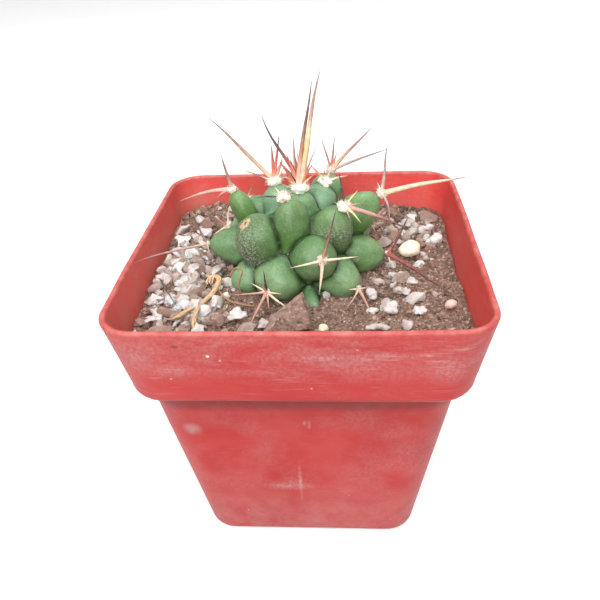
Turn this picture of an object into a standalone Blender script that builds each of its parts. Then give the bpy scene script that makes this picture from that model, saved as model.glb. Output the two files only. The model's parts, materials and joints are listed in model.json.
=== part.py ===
"""A young round cactus in a square plastic nursery pot, with the grit that lies on its soil.

The script works in metres with +Z up. The origin is the middle of the pot's base, on the surface
that the pot stands on, and the pot's front faces -Y. The tables below are in millimetres and degrees."""

import math
import random

import bmesh
import bpy
from mathutils import Matrix, Vector

MM = 0.001
GAP = 0.3  # between pieces that touch

# Pot: a square shell whose upper part widens into a collar
RIM_HALF = 40.0
RIM_CORNER = 8.8
POT_HEIGHT = 73.5
WALL = 1.4
COLLAR_FOOT = 52.9  # height of the step under the collar
COLLAR_HALF = 37.3
COLLAR_ROUNDING = 2.6
BODY_HALF = 34.4  # at the step
BODY_CORNER = 8.6
BASE_HALF = 27.35
BASE_CORNER = 7.6
BASE_ROUNDING = 2.0
BASE_THICKNESS = 1.6
FLOOR_ROUNDING = 1.0
DRAIN_RADIUS = 2.75
DRAIN_OFFSET = 13.0
DRAIN_CUT = 8.0

# Soil
SOIL_LEVEL = 63.2
SOIL_RINGS = 10
SOIL_WAVE = 0.35
SOIL_HEAPS = (  # x, y, height, spread
    (-22, 26, 4.0, 16),
    (-30, -4, 1.6, 12),
    (14, 30, 2.0, 12),
    (24, -26, 1.2, 12),
    (-18, -30, 0.8, 9),
    (0, -24, -0.8, 8),
    (33, 6, -1.2, 10),
    (-4, -16, -1.4, 10),
)

# Stem: every tubercle is a blunt finger that starts inside the stem
STEM = Vector((-1.5, 4.0, 66.0))
CORE_RADIUS = 13.5
ROOT_DEPTH = 14.0
ROOT_OVERLAP = 4.0  # of the root's neck with the core
ROOT_RADIUS = 7.0
ROOT_END_RADIUS = 2.5
WIDEST = 0.62  # of a tubercle's length from its foot
TUBERCLES = {  # azimuth; tip: distance from the stem's axis and height; half width; foot: the same two
    "left": (185, 22.2, 71.0, 5.0, 0, 66),
    "left_front": (219, 13.6, 79.0, 5.7, 5, 63),
    "middle": (260, 6.8, 84.2, 4.9, 6, 63),
    "front": (290, 17.8, 73.8, 5.6, 0, 66),
    "front_low_left": (249, 17.8, 66.0, 5.8, 0, 66),
    "left_low": (215, 19.4, 64.0, 4.8, 0, 65),
    "front_low_right": (313, 20.4, 65.4, 5.6, 0, 65),
    "right": (353, 21.0, 67.6, 5.3, 0, 66),
    "right_back": (13, 19.6, 79.8, 4.9, 2, 66),
    "right_front": (328, 12.0, 81.4, 5.1, 5, 64),
    "left_back": (168, 16.0, 82.0, 4.3, 4, 66),
    "top_left": (140, 9.6, 82.0, 4.6, 3, 68),
    "top_right": (46, 9.2, 82.0, 4.4, 3, 68),
    "top": (30, 0.8, 83.2, 4.4, 0, 66),
    "back_right": (60, 15.5, 82.2, 4.4, 5, 66),
    "back": (95, 14.6, 79.0, 4.8, 4, 66),
    "back_left": (137, 18.6, 75.0, 5.0, 2, 66),
    "back_low_left": (158, 19.5, 70.5, 5.0, 0, 66),
    "back_low": (114, 19.5, 70.0, 5.4, 0, 66),
    "back_middle": (75, 19.5, 71.5, 5.2, 0, 66),
    "back_low_right": (35, 20.4, 69.0, 5.4, 0, 65),
    "nub": (284, 18.6, 61.0, 2.3, 4, 64),
}

# Spines: azimuth, elevation, length, radius at the foot, bow away from the stem as a share of the length
AREOLE_RADIUS = 1.5
AREOLE_THICKNESS = 1.2
SPINES = {
    "left": (
        (229, 10, 21.4, 0.40, 0.06),
        (136, 49, 7.4, 0.28, 0.02),
        (298, -20, 5.8, 0.22, 0.10),
    ),
    "middle": (
        (193, 5, 6.1, 0.28, 0.04),
        (278, -5, 3.2, 0.28, 0.10),
        (147, 43, 3.2, 0.25, 0.02),
        (19, 25, 3.2, 0.25, 0.02),
    ),
    "front": (
        (30, 72, 11.5, 0.38, 0.04),
        (209, 3, 8.0, 0.32, 0.04),
        (348, 14, 8.0, 0.32, 0.04),
        (263, -29, 8.7, 0.42, 0.05),
    ),
    "front_low_left": (
        (300, 80, 6.4, 0.30, 0.10),
        (191, 17, 8.2, 0.30, 0.05),
        (257, -6, 10.0, 0.40, 0.06),
        (287, -3, 5.4, 0.32, 0.04),
        (322, -5, 8.3, 0.32, 0.04),
        (327, 20, 4.6, 0.28, 0.10),
        (170, 49, 3.7, 0.25, 0.10),
    ),
    "front_low_right": (
        (5, 24, 4.5, 0.28, 0.10),
        (236, -8, 6.0, 0.30, 0.08),
        (294, -8, 7.8, 0.40, 0.05),
    ),
    "right": (
        (35, 50, 9.7, 0.40, 0.04),
        (319, -10, 18.2, 0.50, 0.03),
        (280, -40, 3.5, 0.28, 0.10),
    ),
    "right_back": (
        (75, 56, 10.4, 0.40, 0.04),
        (9, 6, 20.8, 0.75, 0.05),
        (285, -40, 8.0, 0.34, 0.12),
        (124, 54, 3.0, 0.26, 0.04),
    ),
    "right_front": (
        (97, 62, 7.2, 0.32, 0.03),
        (335, -10, 14.0, 0.46, 0.05),
        (34, 37, 4.6, 0.30, 0.03),
        (305, -12, 6.2, 0.34, 0.06),
    ),
    "left_back": (
        (121, 54, 8.7, 0.45, 0.03),
        (192, -8, 13.4, 0.48, 0.06),
        (210, -20, 4.8, 0.30, 0.10),
    ),
    "top_left": (
        (154, 38, 22.0, 0.60, 0.09),
        (137, 25, 5.9, 0.35, 0.04),
        (157, 13, 7.8, 0.32, 0.06),
        (74, 56, 11.5, 0.62, 0.02),
    ),
    "top_right": (
        (353, 17, 6.0, 0.32, 0.04),
        (250, 40, 3.5, 0.26, 0.02),
        (100, 60, 4.0, 0.26, 0.02),
    ),
    "top": (
        (51, 72, 25.8, 0.95, 0.09),
        (66, 71, 23.4, 0.62, 0.09),
        (138, 48, 17.7, 0.42, 0.04),
        (30, 52, 9.0, 0.36, 0.02),
        (110, 70, 7.0, 0.55, 0.02),
        (170, 55, 6.5, 0.55, 0.02),
        (350, 45, 5.0, 0.34, 0.02),
    ),
    "back_right": (
        (23, 39, 13.8, 0.50, 0.03),
        (129, 52, 8.0, 0.36, 0.02),
        (81, 56, 8.6, 0.36, 0.02),
        (5, 16, 14.0, 0.40, 0.04),
    ),
    "back": ((95, 50, 12.0, 0.48, 0.05),),
    "back_left": ((140, 30, 10.0, 0.46, 0.05),),
    "back_low_left": ((160, 25, 7.5, 0.40, 0.05),),
    "back_low": ((110, 25, 6.5, 0.42, 0.05),),
    "back_middle": ((68, 35, 8.0, 0.46, 0.05),),
    "back_low_right": ((30, 20, 9.0, 0.42, 0.05),),
}
RADIAL_COUNT = 5  # round each areole at the back
RADIAL_LENGTH = 5.0
RADIAL_TILT = 68  # from the tubercle's axis
SPINE_SIDES = 5
SPINE_PARTS = 4
TIP_SHARE = 0.25  # a spine's radius at its tip, as a share of that at its foot

# Loose pieces on the soil: x, y, length, width, height, turn
PERLITE = (
    (-14.6, -20.0, 4.6, 3.4, 2.2, 10),
    (-8.4, -22.4, 3.0, 2.4, 1.8, 60),
    (-33.2, -7.4, 4.0, 3.2, 2.4, 30),
    (-28.8, -8.6, 3.4, 3.0, 2.2, 80),
    (-27.2, -3.0, 4.2, 3.2, 2.4, 120),
    (-32.0, 1.2, 3.8, 3.0, 2.2, 20),
    (-27.6, 14.6, 4.6, 3.6, 2.6, 140),
    (-29.6, 6.4, 3.6, 3.0, 2.2, 100),
    (-32.2, -22.6, 4.2, 3.4, 2.4, 45),
    (-34.8, -15.0, 3.4, 2.8, 2.0, 0),
    (15.8, -12.6, 3.2, 2.6, 2.2, 70),
    (22.0, -3.4, 3.6, 2.8, 2.2, 15),
    (22.8, -11.4, 4.4, 3.2, 2.2, 160),
    (19.4, -19.0, 4.0, 3.4, 2.2, 95),
    (26.0, -20.4, 3.4, 3.0, 2.2, 50),
    (16.6, -25.6, 5.0, 3.0, 1.6, 5),
    (31.6, 19.6, 4.4, 3.6, 2.8, 35),
    (26.6, 23.4, 4.8, 3.4, 2.6, 110),
)
PEBBLES = (
    (26.4, 9.2, 5.0, 4.4, 3.6, 25),
    (33.0, -17.0, 2.4, 2.0, 1.8, 0),
    (5.0, -24.6, 2.6, 2.2, 1.8, 75),
)
CLOD = (-2.4, -21.4, 11.0, 6.0, 6.0, 10)  # a wedge of dry soil in front of the stem
CLOD_CORNERS = (  # as shares of its length, width and height
    (-0.5, -0.5, 0),
    (0.5, -0.45, 0),
    (0.5, 0.4, 0),
    (-0.4, 0.5, 0),
    (0.3, -0.1, 1),
    (0.36, 0.3, 0.9),
)
ROOTS = {  # points from above, and the radius
    "root_strand_long": (
        ((-21.4, -7.6), (-21.8, -11.5), (-23.0, -16.0), (-25.6, -19.8), (-29.0, -21.8)),
        0.5,
    ),
    "root_strand_short": (((-22.6, -19.0), (-23.2, -21.6), (-23.8, -24.4)), 0.4),
    "loose_spine": (((-34.5, 2.6), (-31.6, -2.0), (-29.0, -6.0)), 0.3),
}


def polar(azimuth, distance, height):
    """A point from its direction round the stem's axis, its distance from it and its height."""
    turn = math.radians(azimuth)
    return Vector((STEM.x + distance * math.cos(turn), STEM.y + distance * math.sin(turn), height))


def direction(azimuth, elevation):
    turn, rise = math.radians(azimuth), math.radians(elevation)
    return Vector((math.cos(rise) * math.cos(turn), math.cos(rise) * math.sin(turn), math.sin(rise)))


def soil_height(x, y):
    """The soil's level: small waves, and wider heaps and hollows."""
    height = SOIL_LEVEL + SOIL_WAVE * math.sin(0.45 * x + 1) * math.cos(0.38 * y)
    for heap_x, heap_y, rise, spread in SOIL_HEAPS:
        height += rise * math.exp(-((x - heap_x) ** 2 + (y - heap_y) ** 2) / spread**2)
    return height


def material(name, colour, roughness):
    finish = bpy.data.materials.new(name)
    finish.use_nodes = True
    shader = finish.node_tree.nodes["Principled BSDF"]
    shader.inputs["Base Color"].default_value = (*colour, 1)
    shader.inputs["Roughness"].default_value = roughness
    shader.inputs["Metallic"].default_value = 0
    return finish


def make_object(name, bm, finish=None):
    """An object from a bmesh in millimetres."""
    bmesh.ops.scale(bm, vec=(MM, MM, MM), verts=bm.verts)
    mesh = bpy.data.meshes.new(name)
    bm.to_mesh(mesh)
    bm.free()
    mesh.shade_smooth()
    mesh.set_sharp_from_angle(angle=math.radians(40))
    if finish:
        mesh.materials.append(finish)
    piece = bpy.data.objects.new(name, mesh)
    bpy.context.scene.collection.objects.link(piece)
    return piece


def make_helpers(name, pieces):
    """A collection of shapes that only join or cut another object."""
    group = bpy.data.collections.new(name)
    for piece in pieces:
        piece.hide_render = True
        piece.display_type = "WIRE"
        group.objects.link(piece)
    return group


def combine(piece, group, operation):
    boolean = piece.modifiers.new(operation.lower(), "BOOLEAN")
    boolean.operand_type = "COLLECTION"
    boolean.collection = group
    boolean.operation = operation
    boolean.solver = "EXACT"


def outline(half, corner, z, corner_steps=5, side_steps=1):
    """The points of a rounded square at one height, anticlockwise."""
    corner = min(corner, half)
    straight = 2 * (half - corner)
    points = []
    for quarter in range(4):
        turn = Matrix.Rotation(math.radians(90 * quarter), 3, "Z")
        for step in range(corner_steps + 1):
            angle = math.radians(90 * step / corner_steps)
            across = half - corner + corner * math.cos(angle)
            along = half - corner + corner * math.sin(angle)
            points.append(turn @ Vector((across, along, z)))
        for step in range(1, side_steps):
            points.append(turn @ Vector((half - corner - straight * step / side_steps, half, z)))
    return points


def loft(rings):
    """A closed solid through rings of points, with a flat cap at each end."""
    bm = bmesh.new()
    loops = []
    for points in rings:
        corners = [bm.verts.new(point) for point in points]
        loops.append([bm.edges.new(pair) for pair in zip(corners, corners[1:] + corners[:1])])
    for lower, upper in zip(loops, loops[1:]):
        bmesh.ops.bridge_loops(bm, edges=lower + upper)
    for end in (loops[0], loops[-1]):
        bmesh.ops.holes_fill(bm, edges=end, sides=0)
    bmesh.ops.recalc_face_normals(bm, faces=bm.faces)
    return bm


def inner_half(z):
    """Half the width inside the pot at a height above its floor."""
    ledge = COLLAR_FOOT + WALL
    if z <= ledge:
        share = (z - BASE_THICKNESS) / (ledge - BASE_THICKNESS)
        return BASE_HALF - WALL + share * (BODY_HALF - BASE_HALF)
    share = (z - ledge) / (POT_HEIGHT - ledge)
    return COLLAR_HALF - WALL + share * (RIM_HALF - COLLAR_HALF)


def rounded_foot(half, corner, z, radius, steps=3):
    """Rings that turn a flat underside into a wall through a quarter circle."""
    rings = []
    for step in range(steps + 1):
        angle = math.radians(90 * step / steps)
        inset = radius * (1 - math.sin(angle))
        rings.append(outline(half - inset, corner - inset, z + radius * (1 - math.cos(angle))))
    return rings


def make_pot(finish):
    lip = WALL / 2
    lip_foot = POT_HEIGHT - lip
    ledge = COLLAR_FOOT + WALL
    rings = rounded_foot(BASE_HALF, BASE_CORNER, 0, BASE_ROUNDING)
    rings.append(outline(BODY_HALF, BODY_CORNER, COLLAR_FOOT))
    rings += rounded_foot(COLLAR_HALF, RIM_CORNER, COLLAR_FOOT, COLLAR_ROUNDING)
    for step in range(5):
        angle = math.radians(45 * step)
        inset = lip * (1 - math.cos(angle))
        rings.append(outline(RIM_HALF - inset, RIM_CORNER - inset, lip_foot + lip * math.sin(angle)))
    rings.append(outline(COLLAR_HALF - WALL, RIM_CORNER - WALL, ledge))
    rings.append(outline(BODY_HALF - WALL, BODY_CORNER - WALL, ledge))
    floor_edge = BASE_THICKNESS + FLOOR_ROUNDING
    rings.append(outline(inner_half(floor_edge), BASE_CORNER - WALL, floor_edge))
    rings.append(outline(BASE_HALF - WALL - FLOOR_ROUNDING, BASE_CORNER - 2 * WALL, BASE_THICKNESS))
    pot = make_object("pot", loft(rings), finish)
    holes = []
    for side_x in (-1, 1):
        for side_y in (-1, 1):
            bm = bmesh.new()
            place = Matrix.Translation((side_x * DRAIN_OFFSET, side_y * DRAIN_OFFSET, 0))
            bmesh.ops.create_cone(
                bm,
                cap_ends=True,
                segments=14,
                radius1=DRAIN_RADIUS,
                radius2=DRAIN_RADIUS,
                depth=DRAIN_CUT,
                matrix=place,
            )
            holes.append(make_object("drain_cutter", bm))
    combine(pot, make_helpers("drain_cutters", holes), "DIFFERENCE")


def tubercle_ends(name):
    """A tubercle's foot and tip."""
    azimuth, tip_distance, tip_height, _, foot_distance, foot_height = TUBERCLES[name]
    return polar(azimuth, foot_distance, foot_height), polar(azimuth, tip_distance, tip_height)


def tubercle_width(share):
    """How wide a tubercle is at this share of its length, against its widest."""
    if share > WIDEST:
        return (1 - ((share - WIDEST) / (1 - WIDEST)) ** 3) ** 0.42
    return (1 - ((WIDEST - share) / WIDEST) ** 2) ** 0.5


def make_tubercle(name, grow):
    foot, tip = tubercle_ends(name)
    half_width = TUBERCLES[name][3] + grow
    length = (tip - foot).length + grow
    bm = bmesh.new()
    bmesh.ops.create_uvsphere(bm, u_segments=12, v_segments=9, radius=1)
    for vert in bm.verts:
        share = (1 + vert.co.z) / 2
        spread = math.hypot(vert.co.x, vert.co.y)
        if spread > 0.001:
            width = half_width * tubercle_width(share)
            vert.co.x *= width / spread
            vert.co.y *= width / spread
        vert.co.z = length * share
    turn = Vector((0, 0, 1)).rotation_difference(tip - foot).to_matrix().to_4x4()
    bmesh.ops.transform(bm, matrix=Matrix.Translation(foot) @ turn, verts=bm.verts)
    return make_object("tubercle_" + name, bm)


def stem_shapes(grow):
    """The core's object and a collection of what is joined to it, all this much larger than the stem."""
    bm = bmesh.new()
    bmesh.ops.create_icosphere(
        bm, subdivisions=2, radius=CORE_RADIUS + grow, matrix=Matrix.Translation(STEM)
    )
    core = make_object("stem_core", bm)
    bm = bmesh.new()
    depth = ROOT_DEPTH + 2 * grow
    place = Matrix.Translation(STEM - Vector((0, 0, CORE_RADIUS - ROOT_OVERLAP + depth / 2)))
    bmesh.ops.create_cone(
        bm,
        cap_ends=True,
        segments=12,
        radius1=ROOT_END_RADIUS + grow,
        radius2=ROOT_RADIUS + grow,
        depth=depth,
        matrix=place,
    )
    grown = [make_tubercle(name, grow) for name in TUBERCLES]
    return core, [make_object("root_neck", bm)] + grown


def make_stem(finish):
    core, grown = stem_shapes(0)
    core.name = "cactus_stem"
    core.data.materials.append(finish)
    combine(core, make_helpers("stem_growth", grown), "UNION")


def make_soil(finish):
    """A block that fills the pot, with a hollow for the stem's foot."""
    shelf = COLLAR_FOOT + WALL + GAP
    corners = {"corner_steps": 3, "side_steps": 6}
    foot = BASE_THICKNESS + GAP
    levels = (
        (inner_half(foot) - GAP - FLOOR_ROUNDING, foot),
        (inner_half(foot) - GAP, foot + FLOOR_ROUNDING),
        (BODY_HALF - WALL - GAP, shelf),
        (COLLAR_HALF - WALL - GAP, shelf),
    )
    rings = [outline(half, BODY_CORNER - WALL - GAP, z, **corners) for half, z in levels]
    edge = inner_half(SOIL_LEVEL - 2) - GAP
    for ring in range(SOIL_RINGS):
        share = 1 - ring / SOIL_RINGS
        points = outline(edge * share, (RIM_CORNER - WALL) * share, 0, **corners)
        rings.append([Vector((point.x, point.y, soil_height(point.x, point.y))) for point in points])
    soil = make_object("soil", loft(rings), finish)
    core, grown = stem_shapes(GAP)
    combine(soil, make_helpers("stem_hollow", [core] + grown), "DIFFERENCE")


def add_tube(bm, points, radii, sides):
    """A closed tube through points, with a radius at each."""
    loops = []
    forward = (points[1] - points[0]).normalized()
    side = forward.orthogonal().normalized()
    for number, (point, radius) in enumerate(zip(points, radii)):
        ahead = points[min(number + 1, len(points) - 1)]
        behind = points[max(number - 1, 0)]
        forward = (ahead - behind).normalized()
        side = (side - forward * side.dot(forward)).normalized()
        other = forward.cross(side)
        corners = []
        for step in range(sides):
            angle = 2 * math.pi * step / sides
            spoke = side * math.cos(angle) + other * math.sin(angle)
            corners.append(bm.verts.new(point + radius * spoke))
        loops.append([bm.edges.new(pair) for pair in zip(corners, corners[1:] + corners[:1])])
    for lower, upper in zip(loops, loops[1:]):
        bmesh.ops.bridge_loops(bm, edges=lower + upper)
    for end in (loops[0], loops[-1]):
        bmesh.ops.holes_fill(bm, edges=end, sides=0)
    bmesh.ops.recalc_face_normals(bm, faces=bm.faces)


def make_spine(start, along, length, radius, bow, axis):
    """A tapered spine whose middle bows towards the tubercle's axis."""
    outward = axis - along * axis.dot(along)
    points, radii = [], []
    for step in range(SPINE_PARTS + 1):
        share = step / SPINE_PARTS
        points.append(start + along * length * share + outward * 4 * bow * length * share * (1 - share))
        radii.append(radius * (1 - (1 - TIP_SHARE) * share))
    bm = bmesh.new()
    add_tube(bm, points, radii, SPINE_SIDES)
    return make_object("spine", bm)


def radial_spines(axis):
    """Rows like those of SPINES, spread round a tubercle's axis."""
    across = axis.cross(Vector((0, 0, 1))).normalized()
    tilted = Matrix.Rotation(math.radians(RADIAL_TILT), 3, across) @ axis
    rows = []
    for number in range(RADIAL_COUNT):
        way = Matrix.Rotation(2 * math.pi * (number + 0.5) / RADIAL_COUNT, 3, axis) @ tilted
        azimuth = math.degrees(math.atan2(way.y, way.x))
        rows.append((azimuth, math.degrees(math.asin(way.z)), RADIAL_LENGTH, 0.3, 0.06))
    return rows


def make_cluster(name, finish):
    """A woolly areole on a tubercle's tip, with its spines."""
    foot, tip = tubercle_ends(name)
    axis = (tip - foot).normalized()
    centre = tip + axis * (GAP + AREOLE_THICKNESS / 2)
    turn = Vector((0, 0, 1)).rotation_difference(axis).to_matrix().to_4x4()
    flat = Matrix.Diagonal((1, 1, AREOLE_THICKNESS / 2 / AREOLE_RADIUS, 1))
    bm = bmesh.new()
    bmesh.ops.create_icosphere(
        bm, subdivisions=2, radius=AREOLE_RADIUS, matrix=Matrix.Translation(centre) @ turn @ flat
    )
    cluster = make_object("spines_" + name, bm, finish)
    rows = list(SPINES[name])
    if name.startswith("back") and len(rows) == 1:
        rows += radial_spines(axis)
    spines = []
    for spine_azimuth, elevation, length, radius, bow in rows:
        along = direction(spine_azimuth, elevation)
        spines.append(make_spine(centre, along, length, radius, bow, axis))
    combine(cluster, make_helpers("spines_of_" + name, spines), "UNION")


def make_stone(name, place, finish, points=16, seed=0):
    """A small angular piece that lies on the soil."""
    x, y, length, width, height, turn = place
    draw = random.Random(seed)
    bm = bmesh.new()
    for _ in range(points):
        spot = Vector((draw.gauss(0, 1), draw.gauss(0, 1), draw.gauss(0, 1))).normalized()
        spot *= draw.uniform(0.82, 1)
        bm.verts.new((spot.x * length / 2, spot.y * width / 2, spot.z * height / 2))
    hull = bmesh.ops.convex_hull(bm, input=bm.verts)
    bmesh.ops.delete(bm, geom=hull["geom_interior"], context="VERTS")
    lift = soil_height(x, y) + height / 2 + GAP
    spin = Matrix.Rotation(math.radians(turn), 4, "Z")
    bmesh.ops.transform(bm, matrix=Matrix.Translation((x, y, lift)) @ spin, verts=bm.verts)
    bmesh.ops.recalc_face_normals(bm, faces=bm.faces)
    make_object(name, bm, finish)


def make_clod(finish):
    """A wedge of dry soil whose top edge runs up to one corner."""
    x, y, length, width, height, turn = CLOD
    bm = bmesh.new()
    for across, along, up in CLOD_CORNERS:
        bm.verts.new((across * length, along * width, up * height))
    bmesh.ops.convex_hull(bm, input=bm.verts)
    spin = Matrix.Rotation(math.radians(turn), 4, "Z")
    lift = max(soil_height(x + dx, y + dy) for dx in (-4, 0, 4) for dy in (-2, 0, 2)) + GAP
    bmesh.ops.transform(bm, matrix=Matrix.Translation((x, y, lift)) @ spin, verts=bm.verts)
    bmesh.ops.recalc_face_normals(bm, faces=bm.faces)
    make_object("soil_clod", bm, finish)


def make_strand(name, finish):
    """A thin dry strand that follows the soil."""
    route, radius = ROOTS[name]
    points = []
    for (x, y), (next_x, next_y) in zip(route, route[1:]):
        for share in (0, 1 / 3, 2 / 3):
            points.append((x + share * (next_x - x), y + share * (next_y - y)))
    points.append(route[-1])
    lifted = [Vector((x, y, soil_height(x, y) + GAP + radius + 0.3)) for x, y in points]
    bm = bmesh.new()
    add_tube(bm, lifted, [radius] * len(lifted), 6)
    make_object(name, bm, finish)


def main():
    for old in list(bpy.data.objects):
        bpy.data.objects.remove(old)
    plastic = material("red_plastic", (0.58, 0.055, 0.045), 0.6)
    substrate = material("sandy_soil", (0.17, 0.10, 0.07), 0.95)
    skin = material("green_skin", (0.07, 0.20, 0.06), 0.5)
    horn = material("spine_horn", (0.55, 0.38, 0.27), 0.6)
    white = material("white_perlite", (0.78, 0.76, 0.74), 0.8)
    cream = material("cream_stone", (0.74, 0.62, 0.42), 0.7)
    straw = material("dry_root", (0.48, 0.31, 0.14), 0.9)
    make_pot(plastic)
    make_soil(substrate)
    make_stem(skin)
    for name in SPINES:
        make_cluster(name, horn)
    for number, place in enumerate(PERLITE, 1):
        make_stone(f"perlite_{number:02}", place, white, seed=number)
    for number, place in enumerate(PEBBLES, 1):
        make_stone(f"pebble_{number}", place, cream, points=30, seed=40 + number)
    make_clod(substrate)
    for name in ROOTS:
        make_strand(name, straw)


main()
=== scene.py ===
"""Looks for a young round cactus in a square plastic nursery pot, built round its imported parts.

The tables are in millimetres and degrees, in the parts' own frame: +Z is up, the origin is the middle
of the pot's base, and the pot's front faces -Y. Every mesh is shaped in millimetres and scaled once."""

import json
import math
import random
import bmesh
import bpy
import numpy as np
from mathutils import Matrix, Vector, noise

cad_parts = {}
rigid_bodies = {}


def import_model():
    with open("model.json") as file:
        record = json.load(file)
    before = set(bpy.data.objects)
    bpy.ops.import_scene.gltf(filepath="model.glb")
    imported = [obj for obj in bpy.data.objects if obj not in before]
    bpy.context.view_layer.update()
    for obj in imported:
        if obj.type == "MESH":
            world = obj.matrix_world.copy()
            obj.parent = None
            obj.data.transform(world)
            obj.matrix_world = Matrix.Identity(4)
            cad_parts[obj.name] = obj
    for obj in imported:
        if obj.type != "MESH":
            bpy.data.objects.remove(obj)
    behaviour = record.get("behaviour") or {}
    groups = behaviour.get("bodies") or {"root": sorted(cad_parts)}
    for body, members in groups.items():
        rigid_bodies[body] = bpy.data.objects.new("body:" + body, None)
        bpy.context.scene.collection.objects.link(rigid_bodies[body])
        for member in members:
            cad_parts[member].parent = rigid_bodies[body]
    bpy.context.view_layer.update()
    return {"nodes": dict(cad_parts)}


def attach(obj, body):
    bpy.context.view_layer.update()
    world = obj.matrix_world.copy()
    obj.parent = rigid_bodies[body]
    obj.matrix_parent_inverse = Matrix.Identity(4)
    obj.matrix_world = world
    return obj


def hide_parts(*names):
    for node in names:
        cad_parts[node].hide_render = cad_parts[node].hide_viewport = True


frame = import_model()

MM = 0.001

# Pot
RIM_HALF = 40.0
RIM_CORNER = 8.8
POT_HEIGHT = 73.5
WALL = 1.4
COLLAR_FOOT = 52.9
COLLAR_HALF = 37.3
COLLAR_ROUNDING = 2.6
BODY_HALF = 34.4
BODY_CORNER = 8.6
BASE_HALF = 27.35
BASE_CORNER = 7.6
BASE_ROUNDING = 2.0
BASE_THICKNESS = 1.6
FLOOR_ROUNDING = 1.0
DRAIN_RADIUS = 2.75
DRAIN_OFFSET = 13.0
DRAIN_CUT = 8.0
WALL_WAVE = 0.12  # how far the thin walls wander
FRONT_BOW = -0.1  # how far the front lip stands out in the middle

# Soil
SOIL_LEVEL = 63.2
SOIL_WAVE = 0.35
SOIL_GAP = 0.05  # between the soil's edge and the wall
SOIL_FOOT = 2.2
SOIL_HEAPS = (  # x, y, height, spread
    (-22, 26, 4.0, 16),
    (-30, -4, 1.6, 12),
    (14, 30, 2.0, 12),
    (24, -26, 1.2, 12),
    (-18, -30, 0.8, 9),
    (0, -24, -0.8, 8),
    (33, 6, -1.2, 10),
    (-4, -16, -1.4, 10),
)
SOIL_CELLS = 210

# Stem
STEM = Vector((-1.5, 4.0, 66.0))
CORE_RADIUS = 13.5
NECK_DROP = 16.5  # from the stem's middle to that of the neck under it
NECK = {"radius1": 2.5, "radius2": 7, "depth": 14}
WIDEST = 0.62  # share of a tubercle's length where it is widest
TUBERCLES = {
    # azimuth; tip: distance from the stem's axis and height; half width; foot: the same two as the tip;
    # shape, from 0, blunt, to 1, a cone; green, from 0, yellowish, to 1, bluish; how much painted shade
    # darkens it
    "left": (185, 22.2, 71.0, 5.0, 0, 66, 1.0, 0.5, 0.33),
    "left_front": (219, 13.6, 79.3, 5.8, 5, 63, 0.0, 0.15, 0.52),
    "middle": (260, 6.8, 84.2, 4.4, 7, 62, 0.3, 0.1, 0.3),
    "front": (290, 17.8, 73.8, 5.35, 0, 66, 0.25, 0.35, 0.38),
    "front_low_left": (249, 17.8, 66.0, 5.8, 0, 66, 0.3, 0.35, 0),
    "left_low": (215, 19.4, 64.0, 4.8, 0, 65, 0.6, 0.5, 0),
    "front_low_right": (313, 20.4, 65.4, 5.6, 0, 65, 0.8, 0.35, 0),
    "right": (353, 21.0, 67.6, 5.3, 0, 66, 0.8, 0.25, 0),
    "right_back": (13, 19.6, 79.8, 4.9, 2, 66, 0.6, 0.1, 0),
    "right_front": (328, 12.0, 81.4, 5.1, 5, 64, 0.6, 0.15, 0.22),
    "left_back": (168, 16.0, 82.0, 2.8, 9, 68, 0.3, 0.0, 0.16),
    "top_left": (132, 8.4, 82.4, 4.3, 3, 68, 0.3, 0.9, 0),
    "top_right": (46, 9.2, 82.0, 4.4, 3, 68, 0.3, 0.9, 0.14),
    "top": (30, 0.8, 83.2, 4.4, 0, 66, 0.3, 0.5, 0),
    "back_right": (60, 15.5, 82.2, 4.4, 5, 66, 0.3, 0.5, 0),
    "back": (95, 14.6, 79.0, 4.8, 4, 66, 0.3, 0.5, 0),
    "back_left": (137, 18.6, 75.0, 5.0, 2, 66, 0.3, 0.5, 0),
    "back_low_left": (158, 19.5, 70.5, 5.0, 0, 66, 0.3, 0.5, 0),
    "back_low": (114, 19.5, 70.0, 5.4, 0, 66, 0.3, 0.5, 0),
    "back_middle": (75, 19.5, 71.5, 5.2, 0, 66, 0.3, 0.5, 0),
    "back_low_right": (35, 20.4, 69.0, 5.4, 0, 65, 0.3, 0.5, 0),
    "nub": (284, 18.6, 61.0, 2.3, 4, 64, 0.3, 0.5, 0),
}
# The corky scar: its middle and half sizes
SCAR_PLACE = (-13.1, -4.1, 78.4)
SCAR_SIZE = (1.3, 1.5, 2.7)
STEM_CELL = 0.36
CREASE_DEPTH = 0.4
STEM_LUMPS = ((0.34, 5.0, Vector()), (0.13, 2.1, STEM), (0.035, 0.8, Vector()))  # height, size, offset
UP = Vector((0, 0, 1))

# Spines: azimuth, elevation, length, radius at the foot, bow as a share of the length, colouring
AREOLE_LIFT = 0.9  # an areole's middle above its tubercle's tip
AREOLE_SHIFT = {  # how far an areole has grown off its tubercle's axis
    "middle": Vector((-1.5, 0.4, -0.3)),
    "right_front": Vector((0.9, 0.0, 0.0)),
    "right_back": Vector((0.6, 0.0, -0.1)),
    "left": Vector((0.3, -0.3, -0.5)),
}
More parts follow.
